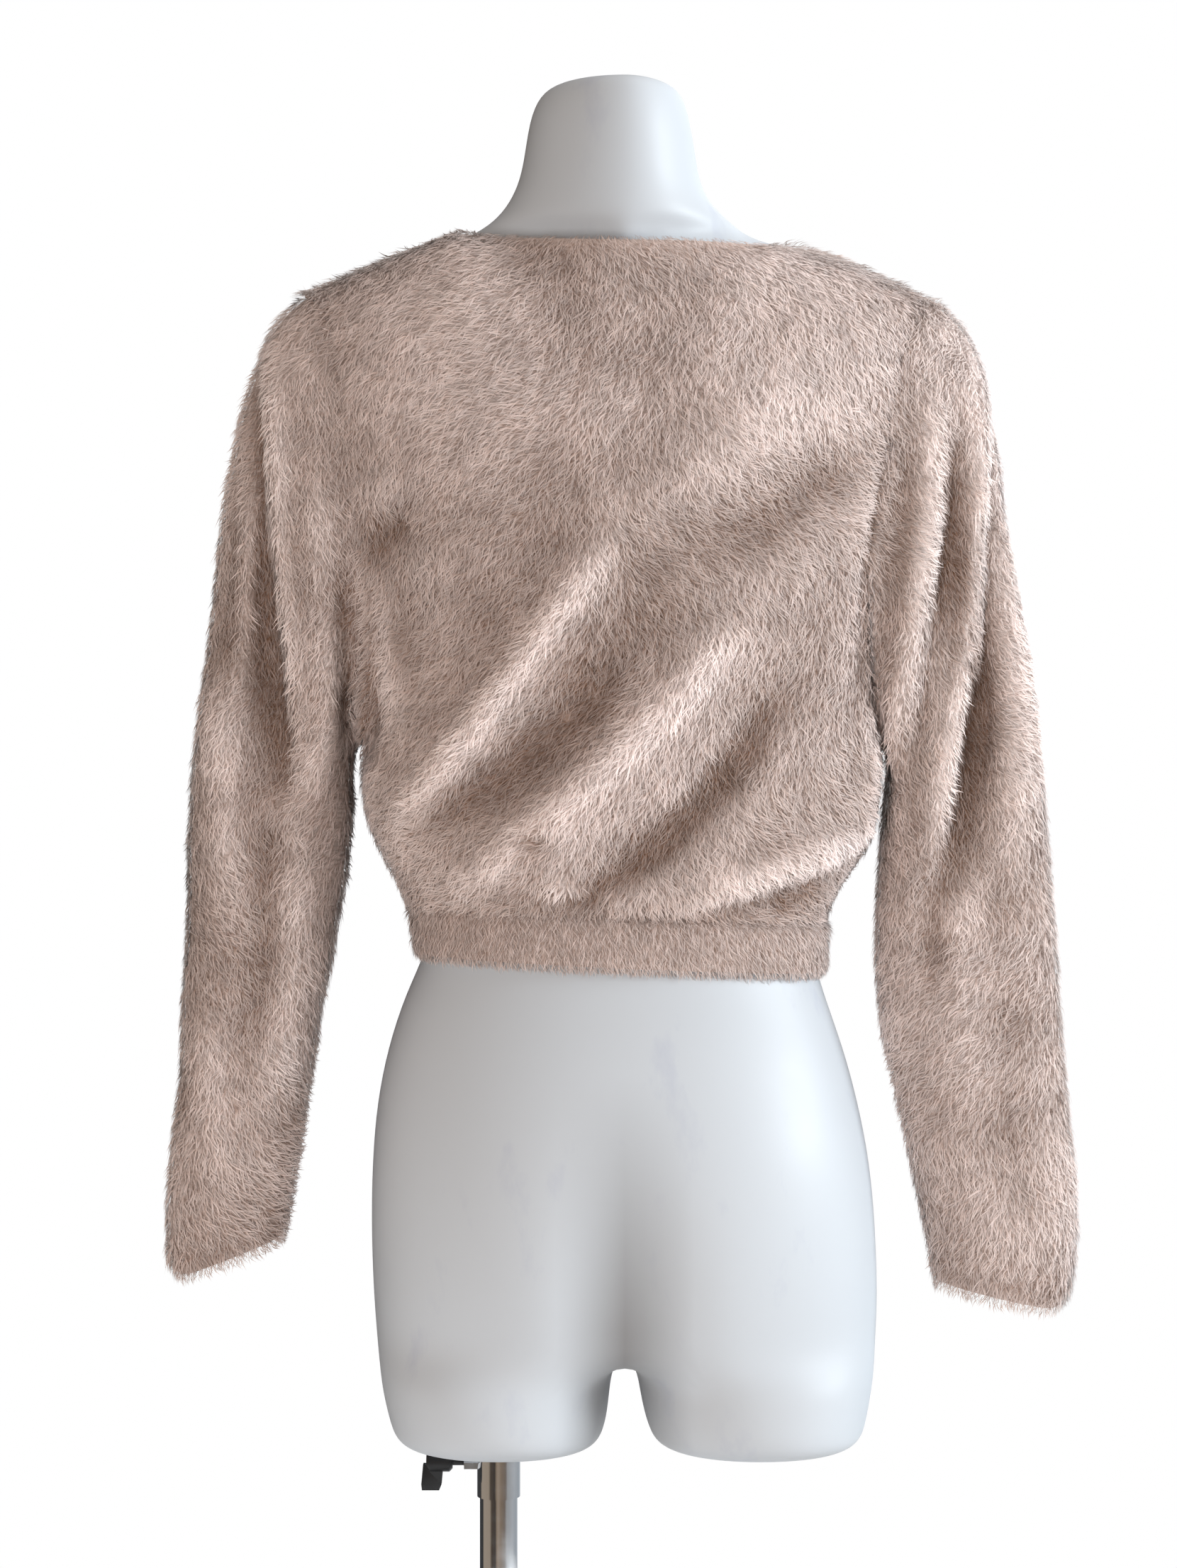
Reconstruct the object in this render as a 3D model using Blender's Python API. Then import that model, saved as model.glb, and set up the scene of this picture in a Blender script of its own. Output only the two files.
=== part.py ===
"""Cropped cardigan in a long-pile knit, worn by a limbless dress form on a pole stand.

Metres, +Z up. The front of the garment faces -Y, and the wearer's left is +X.
The origin is the centre of the base plate's underside.
"""

import math
from collections import namedtuple

import bmesh
import bpy
import numpy as np

# Sizes that drive the rest
SEAM_GAP = 0.00022
SEAT_GAP = 0.0003
CLOTH_THICKNESS = 0.0052
RIB_THICKNESS = 0.0036
RIB_HEIGHT = 0.0014
RIB_TOP = 0.757
HEM_TILT = 0.045
SHOULDER_ROUNDING = 1.055
RIB_SHARPNESS = 20
BAND_WIDTH = 0.025
V_NECK_BOTTOM = 1.02
LAP_LIFT = 0.0058
LAP_STEPS = 3
LAP_END = 1.045
LAP_FADE = 0.06
BUTTON_RADIUS = 0.0078
BUTTON_THICKNESS = 0.0032
BUTTON_SEAT = 0.0004
BUTTON_HEIGHTS = (0.742, 0.806, 0.870, 0.934, 0.996)

# Where the shoulder seams run: neck point and sleeve point
LEFT_NECK_POINT = (0.109, 0.001, 1.2012)
LEFT_SLEEVE_POINT = (0.206, 0.001, 1.1610)
RIGHT_NECK_POINT = (-0.126, 0.001, 1.1906)
RIGHT_SLEEVE_POINT = (-0.206, 0.001, 1.1535)
BACK_NECK_DEPTH = 0.073
BACK_NECK_DROP = 0.0125
NECK_ROUND = 2.1

# Grid steps of the cloth
ROWS_BELOW_UNDERARM = 8
ROWS_OF_ARMHOLE = 14
TOWARDS_SHOULDER = 1.3
BACK_NECK_STEPS = 12
BACK_SHOULDER_STEPS = 8
NECK_SHARE = BACK_NECK_STEPS / (BACK_NECK_STEPS + 2 * BACK_SHOULDER_STEPS)
FRONT_STEPS = 10
BAND_STEPS = 2
RIB_STEPS = 2
SLEEVE_RINGS = 20
BACK_RIBS = 68
FRONT_RIBS = 34

# Stand
BASE_RADIUS = 0.180
BASE_THICKNESS = 0.008
POLE_X = 0.081
POLE_RADIUS = 0.0122
COLLAR_RADIUS = 0.01395
COLLAR_HEIGHT = 0.0335
COLLAR_WALL_OVERLAP = 0.0006
FLANGE_RADIUS = 0.034
FLANGE_HEIGHT = 0.007
FORM_BOTTOM = 0.412
KNOB_DROP = 0.0115
KNOB_RADIUS = 0.0066
SCREW_RADIUS = 0.0025
BOSS_RADIUS = 0.0052
BOSS_LENGTH = 0.0085
BORE_DEPTH = 0.0078
BORE_PLAY = 0.0005
BORE_OVERRUN = 0.002
SCREW_SHOWING = 0.0075
SCREW_IN_GRIP = 0.004
GRIP_LENGTH = 0.017
GRIP_CHAMFER = 0.002
FLANGE_CHAMFER = 0.0035
BASE_RIM = 0.0025

# The knob's wing, from the grip down: drop, place along the screw, half-width and half-thickness
Wing = namedtuple("Wing", "drop along half_width half_thickness")
WING = (
    Wing(0.0015, 0.0040, 0.0066, 0.0030),
    Wing(0.0145, 0.0052, 0.0066, 0.0026),
    Wing(0.0185, 0.0058, 0.0056, 0.0018),
)

# Outline of the body at each height: half-widths and depths
Body = namedtuple("Body", "height left right back front")
HEM = Body(0.7255, 0.1345, 0.1308, 0.0872, 0.1048)
BODY = (
    Body(0.757, 0.1375, 0.1315, 0.0835, 0.1045),
    Body(0.771, 0.1440, 0.1385, 0.0905, 0.1090),
    Body(0.787, 0.1515, 0.1490, 0.0960, 0.1140),
    Body(0.806, 0.1615, 0.1610, 0.0985, 0.1185),
    Body(0.835, 0.1690, 0.1650, 0.0975, 0.1240),
    Body(0.862, 0.1700, 0.1675, 0.0960, 0.1290),
    Body(0.885, 0.1715, 0.1700, 0.0955, 0.1330),
    Body(0.930, 0.1760, 0.1750, 0.0965, 0.1390),
    Body(0.980, 0.1850, 0.1820, 0.0985, 0.1420),
    Body(1.030, 0.1965, 0.1905, 0.1005, 0.1400),
    Body(1.080, 0.2050, 0.1985, 0.1010, 0.1320),
    Body(1.130, 0.2080, 0.2050, 0.0990, 0.1180),
    Body(1.210, 0.2080, 0.2060, 0.0950, 0.1040),
)
UNDERARM_UP = 0.24
ARMHOLE_HALF_WIDTH = 0.057
ARMHOLE_ROUND = 0.5
FULLNESS = 0.8
SLEEVE_FOLD_PLACE = 0.18
SLEEVE_FOLD_WIDTH = 0.33
SLEEVE_HEAD_SHARE = 0.3

# Each sleeve from armhole to cuff: its outer and inner edge, depth, and the long fold between them
Sleeve = namedtuple("Sleeve", "along outer_x outer_z inner_x inner_z middle_y half_depth fold")
LEFT_SLEEVE = (
    Sleeve(0.00, 0.2060, 1.1610, 0.1700, 0.861, 0.000, 0.057, 0.000),
    Sleeve(0.08, 0.2270, 1.1455, 0.1735, 0.8545, 0.000, 0.056, 0.003),
    Sleeve(0.16, 0.2435, 1.1070, 0.1745, 0.8465, 0.000, 0.054, 0.008),
    Sleeve(0.26, 0.2560, 1.0550, 0.1745, 0.834, 0.001, 0.050, 0.012),
    Sleeve(0.38, 0.2645, 0.9900, 0.1745, 0.8155, 0.002, 0.045, 0.012),
    Sleeve(0.50, 0.2735, 0.9150, 0.1765, 0.789, 0.003, 0.040, 0.010),
    Sleeve(0.62, 0.2825, 0.8300, 0.1840, 0.748, 0.004, 0.037, 0.006),
    Sleeve(0.74, 0.2855, 0.7300, 0.1935, 0.690, 0.005, 0.036, 0.003),
    Sleeve(0.86, 0.2910, 0.6300, 0.2045, 0.627, 0.005, 0.035, 0.002),
    Sleeve(0.94, 0.2985, 0.5700, 0.2110, 0.585, 0.005, 0.033, 0.001),
    Sleeve(1.00, 0.2965, 0.5205, 0.2180, 0.549, 0.005, 0.029, 0.000),
)
RIGHT_SLEEVE = (
    Sleeve(0.00, 0.2060, 1.1535, 0.1675, 0.861, 0.000, 0.057, 0.000),
    Sleeve(0.08, 0.2235, 1.1410, 0.1705, 0.8545, 0.000, 0.056, 0.004),
    Sleeve(0.16, 0.2335, 1.1150, 0.1710, 0.846, 0.000, 0.055, 0.009),
    Sleeve(0.26, 0.2430, 1.0700, 0.1695, 0.833, 0.000, 0.052, 0.013),
    Sleeve(0.38, 0.2525, 1.0000, 0.1665, 0.813, 0.000, 0.047, 0.013),
    Sleeve(0.50, 0.2640, 0.9200, 0.1640, 0.783, 0.001, 0.041, 0.011),
    Sleeve(0.62, 0.2750, 0.8300, 0.1620, 0.740, 0.002, 0.038, 0.008),
    Sleeve(0.74, 0.2835, 0.7250, 0.1650, 0.685, 0.003, 0.037, 0.004),
    Sleeve(0.86, 0.2905, 0.6280, 0.1790, 0.625, 0.004, 0.036, 0.002),
    Sleeve(0.94, 0.2975, 0.5580, 0.1890, 0.575, 0.004, 0.034, 0.001),
    Sleeve(1.00, 0.2910, 0.5000, 0.2000, 0.520, 0.004, 0.030, 0.000),
)

# Folds in the cloth, each on a bend through three points, seen square on; troughs are negative
Fold = namedtuple("Fold", "start_x start_z middle_x middle_z end_x end_z half_width height")
BACK_FOLDS = (
    Fold(0.140, 0.818, 0.066, 0.912, 0.010, 1.000, 0.0170, 0.0095),
    Fold(0.112, 0.812, 0.050, 0.864, 0.000, 0.930, 0.0170, -0.0075),
    Fold(0.062, 0.786, 0.004, 0.862, -0.066, 0.936, 0.0220, 0.0110),
    Fold(0.030, 0.788, -0.040, 0.822, -0.104, 0.908, 0.0180, -0.0100),
    Fold(-0.030, 0.780, -0.095, 0.792, -0.140, 0.816, 0.0170, 0.0080),
    Fold(-0.176, 1.060, -0.164, 0.960, -0.150, 0.860, 0.0180, 0.0080),
    Fold(0.150, 0.985, 0.146, 0.935, 0.144, 0.880, 0.0170, -0.0070),
)
FRONT_FOLDS = (
    Fold(0.120, 0.800, 0.070, 0.880, 0.040, 0.960, 0.0170, 0.0060),
    Fold(0.095, 0.780, 0.060, 0.820, 0.035, 0.870, 0.0160, -0.0050),
    Fold(-0.115, 0.795, -0.075, 0.870, -0.050, 0.940, 0.0170, 0.0060),
    Fold(-0.135, 0.900, -0.110, 0.960, -0.100, 1.020, 0.0170, -0.0050),
)

# Outline of the dress form at each height, with how square its section is
Form = namedtuple("Form", "height left right back front roundness")
FORM = (
    Form(1.2945, 0.034, 0.020, 0.034, 0.030, 2.0),
    Form(1.2925, 0.046, 0.031, 0.045, 0.042, 2.0),
    Form(1.2870, 0.055, 0.039, 0.052, 0.049, 2.0),
    Form(1.2720, 0.0615, 0.0435, 0.057, 0.053, 2.0),
    Form(1.2450, 0.0650, 0.0478, 0.059, 0.055, 2.0),
    Form(1.2290, 0.0690, 0.0505, 0.060, 0.056, 2.0),
    Form(1.2140, 0.0770, 0.0590, 0.061, 0.057, 1.9),
    Form(1.2030, 0.0885, 0.0730, 0.062, 0.057, 1.75),
    Form(1.1945, 0.1052, 0.0868, 0.060, 0.055, 1.30),
    Form(1.1860, 0.1308, 0.1200, 0.058, 0.052, 1.2),
    Form(1.1770, 0.1528, 0.1425, 0.056, 0.050, 1.2),
    Form(1.1670, 0.1750, 0.1635, 0.056, 0.051, 1.25),
    Form(1.1570, 0.1830, 0.1805, 0.061, 0.059, 1.45),
    Form(1.1420, 0.1850, 0.1840, 0.070, 0.065, 1.7),
    Form(1.1200, 0.1860, 0.1850, 0.079, 0.074, 1.9),
    Form(1.0900, 0.1840, 0.1820, 0.085, 0.088, 2.1),
    Form(1.0500, 0.1770, 0.1750, 0.088, 0.106, 2.1),
    Form(1.0050, 0.1670, 0.1650, 0.087, 0.118, 2.1),
    Form(0.9600, 0.1560, 0.1540, 0.084, 0.116, 2.1),
    Form(0.9150, 0.1450, 0.1430, 0.079, 0.106, 2.1),
    Form(0.8700, 0.1330, 0.1310, 0.075, 0.096, 2.1),
    Form(0.8300, 0.1220, 0.1195, 0.072, 0.090, 2.1),
    Form(0.7950, 0.1180, 0.1145, 0.071, 0.089, 2.1),
    Form(0.7600, 0.1240, 0.1190, 0.0745, 0.0935, 2.1),
    Form(0.7320, 0.1290, 0.1235, 0.0800, 0.0975, 2.1),
    Form(0.7050, 0.1425, 0.1308, 0.0880, 0.1010, 2.15),
    Form(0.6700, 0.1540, 0.1438, 0.0990, 0.1040, 2.2),
    Form(0.6340, 0.1610, 0.1533, 0.1085, 0.1040, 2.25),
    Form(0.6000, 0.1636, 0.1600, 0.1150, 0.1020, 2.3),
    Form(0.5680, 0.1645, 0.1634, 0.1170, 0.1000, 2.3),
    Form(0.5340, 0.1640, 0.1652, 0.1145, 0.0960, 2.3),
    Form(0.5060, 0.1626, 0.1658, 0.1080, 0.0920, 2.3),
    Form(0.4830, 0.1608, 0.1645, 0.1000, 0.0870, 2.3),
)
FORM_SIDES = 28

# The two thigh stubs below the crotch: outer and inner edge of each, and how far its depth shrinks
Thigh = namedtuple("Thigh", "height outer_left outer_right inner_left inner_right depth_share")
THIGHS = (
    Thigh(0.4640, 0.1585, 0.1630, 0.0062, 0.0072, 0.935),
    Thigh(0.4500, 0.1565, 0.1610, 0.0080, 0.0095, 0.945),
    Thigh(0.4360, 0.1532, 0.1585, 0.0095, 0.0123, 0.940),
    Thigh(0.4255, 0.1503, 0.1562, 0.0118, 0.0157, 0.905),
    Thigh(0.4190, 0.1460, 0.1522, 0.0150, 0.0190, 0.830),
    Thigh(0.4150, 0.1370, 0.1440, 0.0215, 0.0280, 0.690),
    Thigh(0.4120, 0.1180, 0.1260, 0.0370, 0.0440, 0.490),
)
CROTCH_HEIGHT = 0.4738
CROTCH_POINTS = 5
INNER_TURN = 50
BACK_GROOVE_TOP = 0.655
FRONT_GROOVE_TOP = 0.540
GROOVE_DEPTH = 0.20
GROOVE_WIDTH = 0.027
CAP_RISE = 0.0012


for leftover in list(bpy.data.objects):
    bpy.data.objects.remove(leftover)


def follow(rows, name, at):
    """A column of a table as a smooth curve over its first column, read at one or many places."""
    knots = np.array([row[0] for row in rows], float)
    values = np.array([getattr(row, name) for row in rows], float)
    if knots[0] > knots[-1]:
        knots, values = knots[::-1], values[::-1]
    slopes = np.gradient(values, knots)
    at = np.clip(np.asarray(at, float), knots[0], knots[-1])
    left = np.clip(np.searchsorted(knots, at, side="right") - 1, 0, len(knots) - 2)
    span = knots[left + 1] - knots[left]
    t = (at - knots[left]) / span
    rise, fall = t * t * (3 - 2 * t), (1 - t) ** 2
    bend = span * (t * fall * slopes[left] - t * t * (1 - t) * slopes[left + 1])
    return values[left] * (1 - rise) + values[left + 1] * rise + bend


def signed_power(value, power):
    return np.sign(value) * np.abs(value) ** power


def unit(vectors):
    return vectors / np.linalg.norm(vectors, axis=-1, keepdims=True)


def smooth_step(value):
    value = np.clip(value, 0, 1)
    return value * value * (3 - 2 * value)


def material(name, colour, roughness, metallic=0.0):
    made = bpy.data.materials.new(name)
    made.use_nodes = True
    shader = made.node_tree.nodes["Principled BSDF"]
    shader.inputs["Base Color"].default_value = (*colour, 1.0)
    shader.inputs["Roughness"].default_value = roughness
    shader.inputs["Metallic"].default_value = metallic
    made.diffuse_color = (*colour, 1.0)
    return made


PILE = material("rose beige pile", (0.52, 0.40, 0.33), 0.95)
RIB = material("rose beige rib", (0.46, 0.35, 0.29), 0.95)
BAND = material("rose beige band", (0.48, 0.37, 0.31), 0.9)
SHELL_BUTTON = material("beige button", (0.55, 0.44, 0.36), 0.35)
FORM_WHITE = material("off-white form", (0.80, 0.79, 0.77), 0.45)
CHROME = material("chrome", (0.75, 0.75, 0.76), 0.12, 1.0)
BLACK_PLASTIC = material("black plastic", (0.02, 0.02, 0.02), 0.4)
BASE_WHITE = material("white painted steel", (0.82, 0.82, 0.81), 0.4)


def piece(name, points, faces, finish, sharp=35):
    """One closed solid, with its faces turned out."""
    mesh = bpy.data.meshes.new(name)
    mesh.from_pydata([tuple(point) for point in points], [], [tuple(face) for face in faces])
    shape = bmesh.new()
    shape.from_mesh(mesh)
    bmesh.ops.recalc_face_normals(shape, faces=shape.faces)
    if shape.calc_volume(signed=True) < 0:
        bmesh.ops.reverse_faces(shape, faces=shape.faces)
    shape.to_mesh(mesh)
    shape.free()
    mesh.materials.append(finish)
    mesh.shade_smooth()
    mesh.set_sharp_from_angle(angle=math.radians(sharp))
    made = bpy.data.objects.new(name, mesh)
    bpy.context.scene.collection.objects.link(made)
    return made


def grid_faces(rows, columns, wraps=False, first=0):
    """Quads over a grid of points, wrapping round its columns where it is a tube."""
    faces = []
    for row in range(rows - 1):
        for column in range(columns if wraps else columns - 1):
            after = (column + 1) % columns
            low, high = first + row * columns, first + (row + 1) * columns
            faces.append((low + column, low + after, high + after, high + column))
    return faces


def cloth(name, outer, inner, finish, wraps=False, sharp=60, leaning=False):
    """A wall of cloth between an outer and an inner grid of points, closed along its edges.

    Leaning turns the quads, so that they crease along folds that rise to the right.
    """
    rows, columns = outer.shape[:2]
    count = rows * columns
    top = (rows - 1) * columns
    faces = grid_faces(rows, columns, wraps)
    within = grid_faces(rows, columns, wraps, count)
    if leaning:
        faces = [face[1:] + face[:1] for face in faces]
        within = [face[1:] + face[:1] for face in within]
    faces += [(a, d, c, b) for a, b, c, d in within]
    steps = columns if wraps else columns - 1
    for column in range(steps):
        after = (column + 1) % columns
        low, high = after, column
        if wraps and outer[0, column, 2] < outer[0, after, 2]:
            low, high = column, after
        faces.append((low, high, count + high, count + low))
        faces.append((top + column, top + after, count + top + after, count + top + column))
    if not wraps:
        for row in range(rows - 1):
            low, high = row * columns, (row + 1) * columns
            faces.append((low, high, count + high, count + low))
            last = columns - 1
            faces.append((low + last, count + low + last, count + high + last, high + last))
    points = np.concatenate([outer.reshape(-1, 3), inner.reshape(-1, 3)])
    return piece(name, points, faces, finish, sharp)


def part_from_seams(grid, edges, armholes=()):
    """Draws a grid's edges in by the seam gap, so that neighbours don't touch.

    Edges are named, and an armhole is a column, its first row and the way in for each of its rows.
    """
    drawn = grid.copy()
    ends = {"bottom": (np.s_[0], grid[1] - grid[0]), "top": (np.s_[-1], grid[-2] - grid[-1])}
    ends["first"] = (np.s_[:, 0], grid[:, 1] - grid[:, 0])
    ends["last"] = (np.s_[:, -1], grid[:, -2] - grid[:, -1])
    for edge in edges:
        place, pull = ends[edge]
        pull = unit(pull)
        for column, first_row, _ in armholes:
            if (edge, column) in (("first", 0), ("last", -1)):
                pull[first_row + 1 :] = 0
        drawn[place] += SEAM_GAP * pull
    for column, first_row, way_in in armholes:
        drawn[first_row:, column] += SEAM_GAP * way_in
    return drawn


def fold_heights(folds, x, z):
    """How far the folds lift or sink the cloth at places seen square on."""
    height = np.zeros_like(x)
    for fold in folds:
        nearest = np.full_like(x, 1.0)
        along = np.zeros_like(x)
        for t in np.linspace(0, 1, 25):
            a, b, c = (1 - t) ** 2, 2 * t * (1 - t), t * t
            bend_x = 2 * fold.middle_x - 0.5 * (fold.start_x + fold.end_x)
            bend_z = 2 * fold.middle_z - 0.5 * (fold.start_z + fold.end_z)
            line_x = a * fold.start_x + b * bend_x + c * fold.end_x
            line_z = a * fold.start_z + b * bend_z + c * fold.end_z
            distance = np.hypot(x - line_x, z - line_z)
            along = np.where(distance < nearest, t, along)
            nearest = np.minimum(distance, nearest)
        ends = smooth_step(along / 0.25) * smooth_step((1 - along) / 0.25) * 0.65 + 0.35
        height += fold.height * ends * np.exp(-((nearest / fold.half_width) ** 2))
    return height


def section_point(height, turn, side):
    """A point of the body's outline: turn runs from -90 degrees at the right to 90 at the left."""
    wide = np.where(turn >= 0, follow(BODY, "left", height), follow(BODY, "right", height))
    deep = follow(BODY, "back" if side > 0 else "front", height)
    return wide * np.sin(turn), side * deep * signed_power(np.cos(turn), FULLNESS)


def edge_turn(up, height, side):
    """The turn at which a panel ends, at the side seam or at the armhole's edge."""
    share = np.clip((up - UNDERARM_UP) / (1 - UNDERARM_UP) / ARMHOLE_ROUND, 0, 1)
    opening = ARMHOLE_HALF_WIDTH * np.sqrt(1 - (1 - share) ** 2)
    deep = follow(BODY, "back" if side > 0 else "front", height)
    return np.arccos((opening / deep) ** (1 / FULLNESS))


def top_edge(across, side):
    """The top line of back or front, from -1 at the right sleeve point to 1 at the left one."""
    left = across >= 0
    neck_points = np.where(left[..., None], LEFT_NECK_POINT, RIGHT_NECK_POINT)
    sleeve_points = np.where(left[..., None], LEFT_SLEEVE_POINT, RIGHT_SLEEVE_POINT)
    along_seam = np.clip((np.abs(across) - NECK_SHARE) / (1 - NECK_SHARE), 0, 1)[..., None]
    seam = neck_points * (1 - along_seam) + sleeve_points * along_seam
    outwards = np.clip(across / NECK_SHARE, -1, 1)
    middle_z = 0.5 * (LEFT_NECK_POINT[2] + RIGHT_NECK_POINT[2]) - BACK_NECK_DROP
    lift = outwards**2
    round_neck = np.stack(
        [
            np.abs(neck_points[..., 0]) * outwards,
            LEFT_NECK_POINT[1] + side * BACK_NECK_DEPTH * (1 - np.abs(outwards) ** NECK_ROUND),
            middle_z * (1 - lift) + neck_points[..., 2] * lift,
        ],
        axis=-1,
    )
    return np.where((np.abs(across) > NECK_SHARE)[..., None], seam, round_neck)


def body_surface(up, across, side):
    """The garment's outer surface. up runs 0 to 1 from rib to top, across -1 to 1 between edges."""
    top = top_edge(across, side)
    low = RIB_TOP + HEM_TILT * section_point(RIB_TOP, across * math.pi / 2, side)[0]
    height = low + up * (top[..., 2] - low)
    x, y = section_point(height, across * edge_turn(up, height, side), side)
    rounded = (height - SHOULDER_ROUNDING) / (top[..., 2] - SHOULDER_ROUNDING)
    rounded = np.clip(rounded, 0, 1)
    on_seam = smooth_step((np.abs(top[..., 0]) - 0.02) / 0.09)
    lean = 0.5 * math.pi * rounded
    rise = (1 - on_seam) * rounded + on_seam * np.sin(lean) ** 0.85
    inward = (1 - on_seam) * rounded**1.5 + on_seam * (1 - np.cos(lean) ** 0.85)
    lifted = SHOULDER_ROUNDING + (top[..., 2] - SHOULDER_ROUNDING) * rise
    z = np.where(rounded > 0, lifted, height)
    return np.stack([x + (top[..., 0] - x) * rounded**2, y + (top[..., 1] - y) * inward, z], axis=-1)


def rib_surface(up, across, side):
    """The plain surface under the ribs of the hem, from its lower edge to where the body starts."""
    turn = across * math.pi / 2
    x_top, y_top = section_point(RIB_TOP, turn, side)
    wide = np.where(turn >= 0, HEM.left, HEM.right)
    x_hem = wide * np.sin(turn)
    deep = HEM.back if side > 0 else HEM.front
    y_hem = side * deep * signed_power(np.cos(turn), FULLNESS)
    low, high = HEM.height + HEM_TILT * x_hem, RIB_TOP + HEM_TILT * x_top
    x, y = x_hem + up * (x_top - x_hem), y_hem + up * (y_top - y_hem)
    return np.stack([x, y, low + up * (high - low)], axis=-1)


def outward(grid, side, wraps=False):
    """The grid's unit normals, facing away from the garment's inside."""
    if wraps:
        padded = np.concatenate([grid[:, -1:], grid, grid[:, :1]], axis=1)
        across = np.gradient(padded, axis=1)[:, 1:-1]
    else:
        across = np.gradient(grid, axis=1)
    return unit(side * np.cross(np.gradient(grid, axis=0), across))


def level(normals):
    flat = normals.copy()
    flat[..., 2] = 0
    return unit(flat)


def shoulder_normal(neck_point, sleeve_point):
    run, drop = abs(sleeve_point[0] - neck_point[0]), neck_point[2] - sleeve_point[2]
    return unit(np.array([math.copysign(drop, sleeve_point[0]), 0.0, run]))


def share_edges(normals, shoulder_first, shoulder_last):
    """Gives the back's lower edge and its shoulders the normals that its neighbours share."""
    normals[0] = level(normals[0])
    normals[-1, :shoulder_first] = shoulder_normal(RIGHT_NECK_POINT, RIGHT_SLEEVE_POINT)
    normals[-1, shoulder_last:] = shoulder_normal(LEFT_NECK_POINT, LEFT_SLEEVE_POINT)
    return normals


up_rows = np.concatenate(
    [
        np.linspace(0, UNDERARM_UP, ROWS_BELOW_UNDERARM + 1)[:-1],
        1 - (1 - UNDERARM_UP) * np.linspace(1, 0, ROWS_OF_ARMHOLE + 1) ** TOWARDS_SHOULDER,
    ]
)
UNDERARM_ROW = ROWS_BELOW_UNDERARM

# Back panel, from the right side seam to the left one
back_across = np.concatenate(
    [
        np.linspace(-1, -NECK_SHARE, BACK_SHOULDER_STEPS + 1)[:-1],
        np.linspace(-NECK_SHARE, NECK_SHARE, BACK_NECK_STEPS + 1),
        np.linspace(NECK_SHARE, 1, BACK_SHOULDER_STEPS + 1)[1:],
    ]
)
back_up, back_sideways = np.meshgrid(up_rows, back_across, indexing="ij")
back_base = body_surface(back_up, back_sideways, 1)
back_normals = share_edges(
    outward(back_base, 1), BACK_SHOULDER_STEPS + 1, -BACK_SHOULDER_STEPS - 1
)


def front_grid(hand):
    """One front with its band: columns from the side seam to the free edge. hand is 1 for the left."""
    up = up_rows[:, None]
    side_top = top_edge(np.array([float(hand)]), -1)[0, 2]
    height = RIB_TOP + up * (side_top - RIB_TOP)
    wide = follow(BODY, "left" if hand > 0 else "right", height)
    half_band = np.arcsin(0.5 * BAND_WIDTH / wide) / (math.pi / 2)
    climb = np.clip((height - V_NECK_BOTTOM) / (side_top - V_NECK_BOTTOM), 0, 1)
    band_share = BAND_WIDTH / abs(LEFT_SLEEVE_POINT[0] - LEFT_NECK_POINT[0]) * (1 - NECK_SHARE)
    free_edge = -half_band * (1 - climb) + NECK_SHARE * climb
    joined_edge = half_band * (1 - climb) + (NECK_SHARE + band_share) * climb
    over_panel = np.linspace(0, 1, FRONT_STEPS + 1)[None, :]
    over_band = np.linspace(0, 1, BAND_STEPS + 1)[None, 1:]
    across = np.concatenate(
        [1 + over_panel * (joined_edge - 1), joined_edge + over_band * (free_edge - joined_edge)],
        axis=1,
    )
    return hand * across, height


def front_and_band(hand):
    """Base points and normals of one front and its band, with the rows that cross the rib below."""
    across, height = front_grid(hand)
    up = np.broadcast_to(up_rows[:, None], across.shape)
    base = body_surface(up, across, -1)
    rib_rows = np.linspace(0, 1, RIB_STEPS + 1)[:-1, None]
    rib_up, rib_across = np.broadcast_arrays(rib_rows, across[:1])
    whole = np.concatenate([rib_surface(rib_up, rib_across, -1), base])
    normals = outward(whole, hand)
    left_seam, right_seam = (LEFT_NECK_POINT, LEFT_SLEEVE_POINT), (RIGHT_NECK_POINT, RIGHT_SLEEVE_POINT)
    normals[-1] = shoulder_normal(*(left_seam if hand > 0 else right_seam))
    normals[: RIB_STEPS + 1] = level(normals[: RIB_STEPS + 1])
    return whole, normals, height


left_base, left_normals, left_height = front_and_band(1)
right_base, right_normals, right_height = front_and_band(-1)


def share_side_seam(front_base, front_normals, back_column):
    """The side seam and the shoulder point belong to back and front alike."""
    rows = np.s_[: UNDERARM_ROW + 1]
    front_base[RIB_STEPS:][rows, 0] = back_base[rows, back_column]
    front_normals[RIB_STEPS:][rows, 0] = back_normals[rows, back_column]
    front_base[-1, 0] = back_base[-1, back_column]


share_side_seam(left_base, left_normals, -1)
share_side_seam(right_base, right_normals, 0)


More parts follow.
